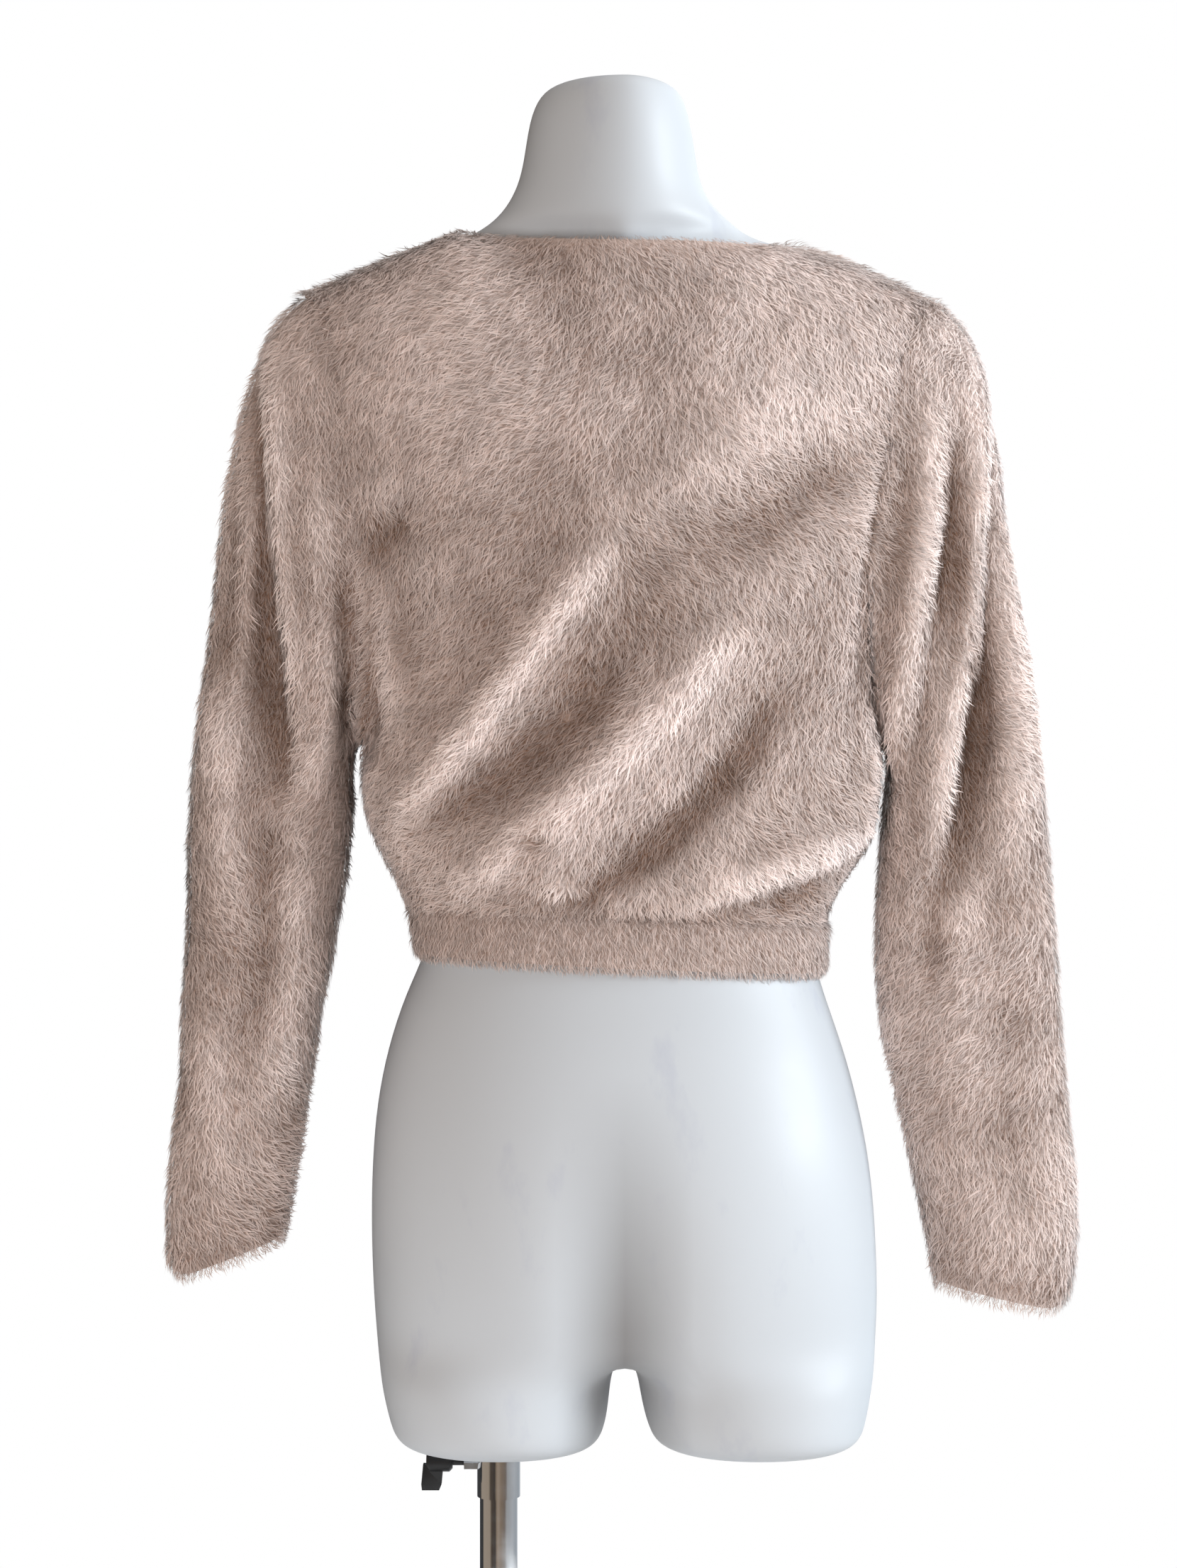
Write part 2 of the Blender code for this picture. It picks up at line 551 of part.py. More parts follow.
def armhole_loop(front_base, front_normals, back_column):
    """The armhole's edge from the shoulder down the back and up the front, and its rim directions."""
    back_edge = back_base[UNDERARM_ROW:, back_column][::-1]
    front_edge = front_base[RIB_STEPS + UNDERARM_ROW :, 0]
    loop = np.concatenate([back_edge, front_edge[1:-1]])
    body_side = np.concatenate(
        [back_normals[UNDERARM_ROW:, back_column][::-1], front_normals[RIB_STEPS + UNDERARM_ROW :, 0][1:-1]]
    )
    from_middle = loop - loop.mean(axis=0)
    from_middle[:, 0] = 0
    rims = unit(body_side + unit(from_middle))
    rims[0] = body_side[0]
    to_body = unit(np.cross(np.roll(loop, -1, axis=0) - np.roll(loop, 1, axis=0), rims))
    inwards = np.array([-np.sign(loop[0, 0]), 0, -0.5])
    to_body *= np.sign(to_body @ inwards)[:, None]
    back_normals[UNDERARM_ROW:, back_column] = rims[: ROWS_OF_ARMHOLE + 1][::-1]
    front_normals[RIB_STEPS + UNDERARM_ROW : -1, 0] = rims[ROWS_OF_ARMHOLE:]
    return loop, rims, to_body


left_loop, left_rims, left_pull = armhole_loop(left_base, left_normals, -1)
right_loop, right_rims, right_pull = armhole_loop(right_base, right_normals, 0)


def folded_wall(base, normals, folds):
    """Outer and inner points of a panel, with the folds drawn out before its edges."""
    rows, columns = base.shape[:2]
    row, column = np.meshgrid(np.arange(rows), np.arange(columns), indexing="ij")
    edge = np.minimum(np.minimum(row, rows - 1 - row), np.minimum(column, columns - 1 - column))
    lift = fold_heights(folds, base[..., 0], base[..., 2]) * smooth_step(edge / 2)
    outer = base + lift[..., None] * normals
    return outer, base + (lift[..., None] - CLOTH_THICKNESS) * normals


down_back = np.s_[: ROWS_OF_ARMHOLE + 1]
up_front = np.r_[ROWS_OF_ARMHOLE : 2 * ROWS_OF_ARMHOLE, 0]
every_edge = ("bottom", "top", "first", "last")

# Back panel
outer, inner = folded_wall(back_base, back_normals, BACK_FOLDS)
back_armholes = (
    (-1, UNDERARM_ROW, left_pull[down_back][::-1]),
    (0, UNDERARM_ROW, right_pull[down_back][::-1]),
)
cloth(
    "back",
    part_from_seams(outer, every_edge, back_armholes),
    part_from_seams(inner, every_edge, back_armholes),
    PILE,
    leaning=True,
)

# Fronts and bands; the right front comes forward to lap over the left
for hand, base, normals, height, way_in, front_name, band_name in (
    (1, left_base, left_normals, left_height, left_pull, "front_left", "band_under"),
    (-1, right_base, right_normals, right_height, right_pull, "front_right", "band_over"),
):
    columns = base.shape[1]
    to_edge = smooth_step((np.arange(columns) - FRONT_STEPS + LAP_STEPS) / LAP_STEPS)[None, :]
    whole_height = np.concatenate([np.full((RIB_STEPS, 1), RIB_TOP), height])
    closes = 1 - smooth_step((whole_height - LAP_END) / LAP_FADE)
    if hand < 0:
        base = base + (LAP_LIFT * to_edge * closes)[..., None] * normals
        right_lapped = base
    outer, inner = folded_wall(base, normals, FRONT_FOLDS)
    panel = np.s_[RIB_STEPS:, : FRONT_STEPS + 1]
    band = np.s_[:, FRONT_STEPS:]
    armhole = ((0, UNDERARM_ROW, way_in[up_front]),)
    cloth(
        front_name,
        part_from_seams(outer[panel], every_edge, armhole),
        part_from_seams(inner[panel], every_edge, armhole),
        PILE,
    )
    band_outer, band_inner = base[band], (base - CLOTH_THICKNESS * normals)[band]
    band_edges = ("top", "first")
    cloth(
        band_name,
        part_from_seams(band_outer, band_edges),
        part_from_seams(band_inner, band_edges),
        BAND,
    )


def even_rib_columns(start, end, steps, side):
    """Places across the hem that are as far apart along its outline, so that the ribs are even."""
    across = np.linspace(start, end, 400)
    outline = rib_surface(np.zeros_like(across), across, side)
    lengths = np.concatenate([[0], np.cumsum(np.linalg.norm(np.diff(outline, axis=0), axis=1))])
    return np.interp(np.linspace(0, lengths[-1], steps + 1), lengths, across)


def ribs(name, across, side, lap=0.0):
    """A length of the ribbed hem: ribs raised in its outer points over a plain inside."""
    up = np.linspace(0, 1, RIB_STEPS + 1)[:, None]
    up, across = np.broadcast_arrays(up, across[None, :])
    base = rib_surface(up, across, side)
    normals = level(outward(base, side))
    base = base + np.atleast_1d(lap)[None, :, None] * normals
    raised = RIB_HEIGHT * (np.arange(base.shape[1]) % 2 - 0.5)[None, :, None]
    edges = ("top", "first", "last")
    outer = part_from_seams(base + raised * normals, edges)
    inner = part_from_seams(base - RIB_THICKNESS * normals, edges)
    cloth(name, outer, inner, RIB, sharp=RIB_SHARPNESS)


left_edge = front_grid(1)[0][0, FRONT_STEPS]
right_edge = front_grid(-1)[0][0, FRONT_STEPS]
rib_steps = 2 * FRONT_RIBS
ribs("hem_rib_back", even_rib_columns(-1, 1, 2 * BACK_RIBS, 1), 1)
ribs("hem_rib_left", even_rib_columns(left_edge, 1, rib_steps, -1), -1)
right_columns = even_rib_columns(-1, right_edge, rib_steps, -1)
lapped_from = front_grid(-1)[0][0, FRONT_STEPS - LAP_STEPS]
lap_share = smooth_step((right_columns - lapped_from) / (right_edge - lapped_from))
ribs("hem_rib_right", right_columns, -1, LAP_LIFT * lap_share)


def sleeve(name, rows, hand, loop, rims, to_body):
    """A sleeve from its armhole's edge to the open cuff, as rings round the missing arm."""
    count = len(loop)
    turn = 2 * math.pi * np.arange(count) / count
    shoulder, underarm = loop[0], loop[count // 2]
    loop_share = (loop[:, 2] - underarm[2]) / (shoulder[2] - underarm[2])
    bulge = loop - underarm - loop_share[:, None] * (shoulder - underarm)
    rings = [loop]
    for along in np.linspace(0, 1, SLEEVE_RINGS + 1)[1:]:
        at = {column: follow(rows, column, along) for column in Sleeve._fields[1:]}
        outer_end = np.array([hand * at["outer_x"], at["middle_y"], at["outer_z"]])
        inner_end = np.array([hand * at["inner_x"], at["middle_y"], at["inner_z"]])
        down = smooth_step(along / SLEEVE_HEAD_SHARE)
        share = loop_share * (1 - down) + 0.5 * (1 + np.cos(turn)) * down
        sine = np.sin(turn)
        trough = np.exp(-(((np.cos(turn) - SLEEVE_FOLD_PLACE) / SLEEVE_FOLD_WIDTH) ** 2))
        deep = at["half_depth"] * signed_power(sine, 0.9) - at["fold"] * trough * sine
        ring = inner_end + share[:, None] * (outer_end - inner_end)
        ring[:, 0] += bulge[:, 0] * (1 - down)
        ring[:, 1] += bulge[:, 1] * (1 - down) + deep * down
        rings.append(ring)
    base = np.array(rings)
    normals = outward(base, hand, wraps=True)
    normals[0] = rims
    outer, inner = base, base - CLOTH_THICKNESS * normals
    outer[0] -= SEAM_GAP * to_body
    inner[0] -= SEAM_GAP * to_body
    cloth(name, outer, inner, PILE, wraps=True)


sleeve("sleeve_left", LEFT_SLEEVE, 1, left_loop, left_rims, left_pull)
sleeve("sleeve_right", RIGHT_SLEEVE, -1, right_loop, right_rims, right_pull)


def turned(profile, sides, tube=False):
    """Points and faces of a profile of (radius, height) pairs turned round the Z axis."""
    points, faces = [], []
    for radius, height in profile:
        for step in range(sides):
            turn = 2 * math.pi * step / sides
            points.append((radius * math.cos(turn), radius * math.sin(turn), height))
    faces += grid_faces(len(profile), sides, wraps=True)
    if tube:
        last = (len(profile) - 1) * sides
        for step in range(sides):
            after = (step + 1) % sides
            faces.append((last + step, last + after, after, step))
    else:
        faces.append(tuple(reversed(range(sides))))
        faces.append(tuple(range((len(profile) - 1) * sides, len(profile) * sides)))
    return np.array(points), faces


# Buttons, each seated on the band over and square to it
band_middle = right_lapped[:, FRONT_STEPS + BAND_STEPS // 2]
for number, button_height in enumerate(BUTTON_HEIGHTS, start=1):
    row = int(np.argmin(np.abs(band_middle[:, 2] - button_height)))
    lean = band_middle[row + 1] - band_middle[row - 1]
    facing = unit(np.array([0, -lean[2], lean[1]]))
    share = (button_height - band_middle[row, 2]) / lean[2]
    seat = band_middle[row] + share * lean
    sideways = np.array([1.0, 0, 0])
    upward = np.cross(facing, sideways)
    rim = 0.3 * BUTTON_THICKNESS
    profile = (
        (BUTTON_RADIUS - rim, BUTTON_SEAT),
        (BUTTON_RADIUS, BUTTON_SEAT + rim),
        (BUTTON_RADIUS, BUTTON_SEAT + BUTTON_THICKNESS - rim),
        (BUTTON_RADIUS - rim, BUTTON_SEAT + BUTTON_THICKNESS),
    )
    points, faces = turned(profile, 14)
    places = seat + points @ np.array([sideways, upward, facing])
    piece(f"button_{number}", places, faces, SHELL_BUTTON)


# Dress form: rings from the neck cap to the crotch, then one set of rings for each thigh
def form_ring(row):
    turn = 2 * math.pi * np.arange(FORM_SIDES) / FORM_SIDES - math.pi / 2
    power = 2 / row.roundness
    x = signed_power(np.cos(turn), power)
    y = signed_power(np.sin(turn), power)
    x = np.where(x > 0, row.left, row.right) * x
    y = np.where(y > 0, row.back, row.front) * y
    groove_top = np.where(y > 0, BACK_GROOVE_TOP, FRONT_GROOVE_TOP)
    dip = smooth_step((groove_top - row.height) / (groove_top - CROTCH_HEIGHT))
    y *= 1 - GROOVE_DEPTH * dip * np.exp(-((x / GROOVE_WIDTH) ** 2))
    return np.stack([x, y, np.full(FORM_SIDES, row.height)], axis=-1)


cap_middle = 0.5 * (FORM[0].left - FORM[0].right)
form_points = [np.array([[cap_middle, 0.0, FORM[0].height + CAP_RISE]])]
form_points += [form_ring(row) for row in FORM]
form_faces = [(0, 1 + (step + 1) % FORM_SIDES, 1 + step) for step in range(FORM_SIDES)]
form_faces += [face[::-1] for face in grid_faces(len(FORM), FORM_SIDES, True, 1)]
total = 1 + len(FORM) * FORM_SIDES
hip_ring = list(range(total - FORM_SIDES, total)) + [total - FORM_SIDES]
hip_points = form_points[-1]
front_middle, back_middle = hip_points[0], hip_points[FORM_SIDES // 2]
crotch_first = total
for share in np.linspace(0, 1, CROTCH_POINTS + 2)[1:-1]:
    across_crotch = front_middle + share * (back_middle - front_middle)
    across_crotch[2] = CROTCH_HEIGHT
    form_points.append(across_crotch[None])
total += CROTCH_POINTS
crotch = list(range(crotch_first, total))
half = FORM_SIDES // 2
for hand, above in (
    (1, hip_ring[: half + 1] + crotch[::-1]),
    (-1, hip_ring[half:] + crotch),
):
    count = len(above)
    inner_angles = np.linspace(1, -1, CROTCH_POINTS + 2)[1:-1] * math.radians(INNER_TURN)
    first_turn = math.radians(INNER_TURN)
    outer_angles = np.linspace(first_turn, 2 * math.pi - first_turn, half + 1)
    angles = np.concatenate([outer_angles, inner_angles[::-1]])
    for thigh in THIGHS:
        outside = thigh.outer_left if hand > 0 else thigh.outer_right
        inside = thigh.inner_left if hand > 0 else thigh.inner_right
        middle, reach = 0.5 * (outside + inside), 0.5 * (outside - inside)
        last = FORM[-1]
        forward = 0.5 * (last.back - last.front)
        deep = 0.5 * (last.back + last.front) * thigh.depth_share
        x = middle - reach * signed_power(np.cos(angles), 0.92)
        y = forward - deep * signed_power(np.sin(angles), 0.85)
        ring = np.stack([x, y, np.full(count, thigh.height)], axis=-1)
        if hand < 0:
            ring[:, 1] = 2 * forward - ring[:, 1]
            ring[:, 0] = -ring[:, 0]
        form_points.append(ring)
        below = list(range(total, total + count))
        for step in range(count):
            after = (step + 1) % count
            form_faces.append((above[step], above[after], below[after], below[step]))
        above, total = below, total + count
    form_faces.append(tuple(reversed(above)))
piece("dress_form", np.concatenate(form_points), form_faces, FORM_WHITE, sharp=60)

# Pole and its clamp collar under the thigh
pole_low, pole_high = BASE_THICKNESS + SEAT_GAP, FORM_BOTTOM - SEAT_GAP
points, faces = turned(((POLE_RADIUS, pole_low), (POLE_RADIUS, pole_high)), 32)
piece("pole", points + (POLE_X, 0, 0), faces, CHROME)

collar_top = FORM_BOTTOM - SEAT_GAP
collar_low = collar_top - COLLAR_HEIGHT
screw_height = FORM_BOTTOM - KNOB_DROP
inside = POLE_RADIUS + SEAT_GAP
ring = (
    (inside, collar_low),
    (COLLAR_RADIUS, collar_low),
    (COLLAR_RADIUS, collar_top),
    (inside, collar_top),
)
points, faces = turned(ring, 32, tube=True)
collar = piece("pole_collar", points + (POLE_X, 0, 0), faces, CHROME)


def lying(profile, sides):
    """A turned shape laid along +X at the clamp screw's height."""
    points, faces = turned(profile, sides)
    return points[:, [2, 0, 1]] + (0, 0, screw_height), faces


def joined(target, helper, operation):
    """Adds a helper to a piece or cuts it away, and leaves one solid."""
    helper.hide_render = True
    helper.display_type = "WIRE"
    change = target.modifiers.new(helper.name, "BOOLEAN")
    change.object = helper
    change.operation = operation


boss_start = POLE_X + inside + COLLAR_WALL_OVERLAP
boss_end = POLE_X + COLLAR_RADIUS + BOSS_LENGTH
bore_start = boss_end - BORE_DEPTH
bore = SCREW_RADIUS + BORE_PLAY
points, faces = lying(((BOSS_RADIUS, boss_start), (BOSS_RADIUS, boss_end)), 6)
boss = piece("boss_shape", points, faces, CHROME)
points, faces = lying(((bore, bore_start), (bore, boss_end + BORE_OVERRUN)), 20)
bore_shape = piece("bore_shape", points, faces, CHROME)
joined(collar, boss, "UNION")
joined(collar, bore_shape, "DIFFERENCE")

# Clamp knob: a screw, a round grip and a wing
screw_start = bore_start + SEAT_GAP
grip_start = boss_end + SCREW_SHOWING
grip_end = grip_start + GRIP_LENGTH
screw = ((SCREW_RADIUS, screw_start), (SCREW_RADIUS, grip_start + SCREW_IN_GRIP))
points, faces = lying(screw, 16)
knob = piece("clamp_knob", points - (0, 0, screw_height), faces, BLACK_PLASTIC)
knob.location = (0, 0, screw_height)
grip = (
    (KNOB_RADIUS - GRIP_CHAMFER, grip_start),
    (KNOB_RADIUS, grip_start + GRIP_CHAMFER),
    (KNOB_RADIUS, grip_end - GRIP_CHAMFER),
    (KNOB_RADIUS - GRIP_CHAMFER, grip_end),
)
points, faces = lying(grip, 20)
grip_shape = piece("grip_shape", points, faces, BLACK_PLASTIC)
grip_middle = 0.5 * (grip_start + grip_end)
wing_points = []
for row in WING:
    for x, y in ((-1, -1), (1, -1), (1, 1), (-1, 1)):
        along = grip_middle + row.along + x * row.half_width
        wing_points.append((along, y * row.half_thickness, screw_height - row.drop))
wing_faces = grid_faces(len(WING), 4, wraps=True) + [(3, 2, 1, 0), (8, 9, 10, 11)]
wing_shape = piece("wing_shape", wing_points, wing_faces, BLACK_PLASTIC)
joined(knob, grip_shape, "UNION")
joined(knob, wing_shape, "UNION")

# Flange and base plate
flange_low, flange_top = pole_low, pole_low + FLANGE_HEIGHT
ring = (
    (inside, flange_low),
    (FLANGE_RADIUS, flange_low),
    (FLANGE_RADIUS, flange_top - FLANGE_CHAMFER),
    (FLANGE_RADIUS - FLANGE_CHAMFER, flange_top),
    (inside, flange_top),
)
points, faces = turned(ring, 32, tube=True)
piece("pole_flange", points + (POLE_X, 0, 0), faces, CHROME)

profile = (
    (BASE_RADIUS - 0.5 * BASE_RIM, 0),
    (BASE_RADIUS, 0.5 * BASE_RIM),
    (BASE_RADIUS, BASE_THICKNESS - BASE_RIM),
    (BASE_RADIUS - BASE_RIM, BASE_THICKNESS),
)
points, faces = turned(profile, 56)
piece("base_plate", points, faces, BASE_WHITE)
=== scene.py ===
"""Cropped cardigan in a long brushed pile, on a limbless dress form and its pole stand."""

import math
from collections import namedtuple

import bmesh
import bpy
import numpy as np
from mathutils import Matrix, Vector, kdtree, noise


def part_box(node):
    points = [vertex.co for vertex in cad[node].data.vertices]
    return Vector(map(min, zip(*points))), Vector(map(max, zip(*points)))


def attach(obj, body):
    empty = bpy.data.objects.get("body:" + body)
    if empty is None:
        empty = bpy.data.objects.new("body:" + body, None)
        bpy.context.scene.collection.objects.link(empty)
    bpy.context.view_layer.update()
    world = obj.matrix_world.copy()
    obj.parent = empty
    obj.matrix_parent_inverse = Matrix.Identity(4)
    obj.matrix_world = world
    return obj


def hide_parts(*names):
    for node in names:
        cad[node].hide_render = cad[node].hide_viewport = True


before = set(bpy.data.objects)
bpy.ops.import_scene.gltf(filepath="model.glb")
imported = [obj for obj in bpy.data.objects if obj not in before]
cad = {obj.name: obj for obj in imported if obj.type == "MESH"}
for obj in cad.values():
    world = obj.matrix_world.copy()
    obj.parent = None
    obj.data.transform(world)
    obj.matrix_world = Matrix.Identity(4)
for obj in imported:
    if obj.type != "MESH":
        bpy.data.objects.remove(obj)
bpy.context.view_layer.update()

# Camera, studio floor and light
# The photograph looks level at the middle of the form's back, from two metres away. Soft
# daylight comes from a window at the picture's right. Weaker lights stand for what the room,
# the ceiling and the wall beyond the form throw back.

CAMERA_DISTANCE = 2.0
CAMERA_HEIGHT = 0.841
CAMERA_SIDE = 0.0226
PICTURE_HEIGHT = 1.0197

lens_data = bpy.data.cameras.new("camera")
lens_data.sensor_fit = "VERTICAL"
lens_data.sensor_width = 36
lens_data.sensor_height = 36
lens_data.lens = lens_data.sensor_height * CAMERA_DISTANCE / PICTURE_HEIGHT
camera = bpy.data.objects.new("camera", lens_data)
camera.location = (CAMERA_SIDE, CAMERA_DISTANCE, CAMERA_HEIGHT)
camera.rotation_euler = (math.radians(90), 0, math.radians(180))
bpy.context.scene.collection.objects.link(camera)
bpy.context.scene.camera = camera
bpy.context.scene.view_settings.view_transform = "Standard"


def soft_light(name, place, target, size, power, colour):
    """A square light. Only the window shows in what is glossy."""
    data = bpy.data.lights.new(name, "AREA")
    data.size = size
    data.energy = power
    data.color = colour
    light = bpy.data.objects.new(name, data)
    light.location = place
    aim = Vector(target) - Vector(place)
    light.rotation_euler = aim.to_track_quat("-Z", "Y").to_euler()
    light.visible_glossy = name == "window"
    bpy.context.scene.collection.objects.link(light)


soft_light("window", (-2.40, 0.75, 1.55), (0, 0, 1.02), 1.2, 80, (0.86, 0.94, 1.0))
soft_light("room", (0.7, 2.4, 0.45), (0.03, 0, 0.60), 1.4, 38, (1.0, 0.97, 0.96))
soft_light("ceiling", (-0.4, -0.2, 2.6), (0, 0, 1.0), 1.2, 13, (1.0, 0.97, 0.95))
soft_light("front", (-1.3, -2.4, 1.9), (0, 0, 0.90), 1.8, 44, (0.97, 0.98, 1.0))

# The room round the form: white where the camera looks, a bright window side and a warm dim side
# for what the light and the chrome see.
world = bpy.data.worlds.new("studio")
bpy.context.scene.world = world
world.use_nodes = True
studio = world.node_tree
backdrop = studio.nodes["Background"]
look_direction = studio.nodes.new("ShaderNodeTexCoord")
direction = studio.nodes.new("ShaderNodeSeparateXYZ")
bearing = studio.nodes.new("ShaderNodeMath")
bearing.operation = "ARCTAN2"
round_room = studio.nodes.new("ShaderNodeMapRange")
round_room.inputs["From Min"].default_value = -math.pi
round_room.inputs["From Max"].default_value = math.pi
walls = studio.nodes.new("ShaderNodeValToRGB")
ROOM_WALLS = (
    (0.00, (0.42, 0.45, 0.49)), (0.06, (0.48, 0.52, 0.56)), (0.12, (0.36, 0.39, 0.42)),
    (0.24, (0.42, 0.44, 0.46)), (0.36, (0.33, 0.33, 0.33)), (0.39, (0.17, 0.135, 0.11)),
    (0.46, (0.22, 0.165, 0.12)), (0.50, (0.32, 0.25, 0.19)), (0.53, (0.26, 0.195, 0.14)),
    (0.55, (0.05, 0.04, 0.035)), (0.62, (0.085, 0.065, 0.05)), (0.65, (0.32, 0.26, 0.20)),
    (0.78, (0.35, 0.29, 0.23)), (0.81, (0.04, 0.04, 0.04)), (0.97, (0.06, 0.06, 0.065)),
    (1.00, (0.42, 0.45, 0.49)),
)
ramp = walls.color_ramp
while len(ramp.elements) < len(ROOM_WALLS):
    ramp.elements.new(0.5)
for stop, (place, colour) in zip(ramp.elements, ROOM_WALLS):
    stop.position = place
    stop.color = (*colour, 1)
seen = studio.nodes.new("ShaderNodeLightPath")
sides = studio.nodes.new("ShaderNodeMix")
sides.data_type = "RGBA"
sides.inputs["B"].default_value = (1, 1, 1, 1)
for out, into in (
        (look_direction.outputs["Generated"], direction.inputs["Vector"]),
        (direction.outputs["X"], bearing.inputs[0]),
        (direction.outputs["Y"], bearing.inputs[1]),
        (bearing.outputs["Value"], round_room.inputs["Value"]),
        (round_room.outputs["Result"], walls.inputs["Fac"]),
        (seen.outputs["Is Camera Ray"], sides.inputs["Factor"]),
        (walls.outputs["Color"], sides.inputs["A"]),
        (sides.outputs["Result"], backdrop.inputs["Color"])):
    studio.links.new(out, into)


def shade(name, roughness, metallic=0.0):
    """A new material, and the shader in it."""
    made = bpy.data.materials.new(name)
    made.use_nodes = True
    shader = made.node_tree.nodes["Principled BSDF"]
    shader.inputs["Roughness"].default_value = roughness
    shader.inputs["Metallic"].default_value = metallic
    return made, shader


def node(material, kind, **inputs):
    """A new node in the material, with its inputs set by name."""
    made = material.node_tree.nodes.new(kind)
    for name, value in inputs.items():
        made.inputs[name.replace("_", " ").title()].default_value = value
    return made


def link(material, out, into):
    material.node_tree.links.new(out, into)


def add_piece(name, mesh, material, body):
    """A finished mesh as a piece that rides on a body."""
    made = bpy.data.objects.new(name, mesh)
    bpy.context.scene.collection.objects.link(made)
    mesh.materials.clear()
    mesh.materials.append(material)
    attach(made, body)
    return made


FLOOR_RADIUS = 1.25
floor_paint, floor_shader = shade("pale_floor", 0.75)
speckle = node(floor_paint, "ShaderNodeTexNoise", scale=9.0)
floor_tone = floor_paint.node_tree.nodes.new("ShaderNodeMix")
floor_tone.data_type = "RGBA"
floor_tone.inputs["A"].default_value = (0.82, 0.82, 0.81, 1)
floor_tone.inputs["B"].default_value = (0.86, 0.86, 0.855, 1)
where = floor_paint.node_tree.nodes.new("ShaderNodeTexCoord")
link(floor_paint, where.outputs["Object"], speckle.inputs["Vector"])
link(floor_paint, speckle.outputs["Fac"], floor_tone.inputs["Factor"])
link(floor_paint, floor_tone.outputs["Result"], floor_shader.inputs["Base Color"])
floor_mesh = bpy.data.meshes.new("floor")
disc = bmesh.new()
bmesh.ops.create_circle(disc, cap_ends=True, segments=96, radius=FLOOR_RADIUS)
disc.to_mesh(floor_mesh)
disc.free()
floor_mesh.materials.append(floor_paint)
floor = bpy.data.objects.new("floor", floor_mesh)
floor.location.z = -0.0005
bpy.context.scene.collection.objects.link(floor)

# Base plate
# A round plate of satin steel, 36 cm across, with a rounded rim, which lies flat on the floor.
# Fine rings from the lathe run round it.

TURNED_SEGMENTS = 96


def turned(name, profile, centre, segments=TURNED_SEGMENTS):
    """A closed mesh spun about an upright axis, from (radius, height) points, axis first."""
    spun = bmesh.new()
    points = [spun.verts.new((radius, 0, height)) for radius, height in profile]
    edges = [spun.edges.new(pair) for pair in zip(points, points[1:])]
    bmesh.ops.spin(spun, geom=points + edges, cent=(0, 0, 0), axis=(0, 0, 1),
                   angle=math.tau, steps=segments, use_merge=True)
    bmesh.ops.remove_doubles(spun, verts=spun.verts, dist=1e-6)
    bmesh.ops.recalc_face_normals(spun, faces=spun.faces)
    bmesh.ops.translate(spun, verts=spun.verts, vec=centre)
    mesh = bpy.data.meshes.new(name)
    spun.to_mesh(mesh)
    spun.free()
    smooth(mesh, 40)
    return mesh


def smooth(mesh, degrees):
    """Shades a mesh smooth, but for the edges that turn by more than this angle."""
    mesh.shade_smooth()
    mesh.set_sharp_from_angle(angle=math.radians(degrees))


def rounded(corner_radius, radius, height, way_in, way_up, steps=5):
    """Points of a quarter round at (radius, height)."""
    return [(radius + way_in * corner_radius * (1 - math.cos(turn)),
             height + way_up * corner_radius * (1 - math.sin(turn)))
            for turn in (math.pi / 2 * step / steps for step in range(steps + 1))]


def group_of(name, inputs, outputs):
    """A shader node group with named sockets, as (tree, its input node, its output node)."""
    tree = bpy.data.node_groups.new(name, "ShaderNodeTree")
    for socket, kind, value in inputs:
        made = tree.interface.new_socket(socket, in_out="INPUT", socket_type=kind)
        made.default_value = value
    for socket, kind in outputs:
        tree.interface.new_socket(socket, in_out="OUTPUT", socket_type=kind)
    return tree, tree.nodes.new("NodeGroupInput"), tree.nodes.new("NodeGroupOutput")


# Handling marks: faint smudges that make a polished or painted surface less even.
smudges, smudge_in, smudge_out = group_of(
    "handling_marks",
    [("Scale", "NodeSocketFloat", 20.0), ("Clean", "NodeSocketFloat", 0.2),
     ("Smudged", "NodeSocketFloat", 0.35)],
    [("Roughness", "NodeSocketFloat")])
smudge_place = smudges.nodes.new("ShaderNodeTexCoord")
smudge_noise = smudges.nodes.new("ShaderNodeTexNoise")
smudge_noise.inputs["Detail"].default_value = 6
smudge_range = smudges.nodes.new("ShaderNodeMapRange")
smudge_range.inputs["From Min"].default_value = 0.35
smudge_range.inputs["From Max"].default_value = 0.7
for out, into in (
        (smudge_place.outputs["Object"], smudge_noise.inputs["Vector"]),
        (smudge_in.outputs["Scale"], smudge_noise.inputs["Scale"]),
        (smudge_noise.outputs["Fac"], smudge_range.inputs["Value"]),
        (smudge_in.outputs["Clean"], smudge_range.inputs["To Min"]),
        (smudge_in.outputs["Smudged"], smudge_range.inputs["To Max"]),
        (smudge_range.outputs["Result"], smudge_out.inputs["Roughness"])):
    smudges.links.new(out, into)


def marked(material, shader, scale, clean, smudged):
    """Gives a material handling marks, from its clean roughness to its smudged one."""
    marks = material.node_tree.nodes.new("ShaderNodeGroup")
    marks.node_tree = smudges
    marks.inputs["Scale"].default_value = scale
    marks.inputs["Clean"].default_value = clean
    marks.inputs["Smudged"].default_value = smudged
    link(material, marks.outputs["Roughness"], shader.inputs["Roughness"])


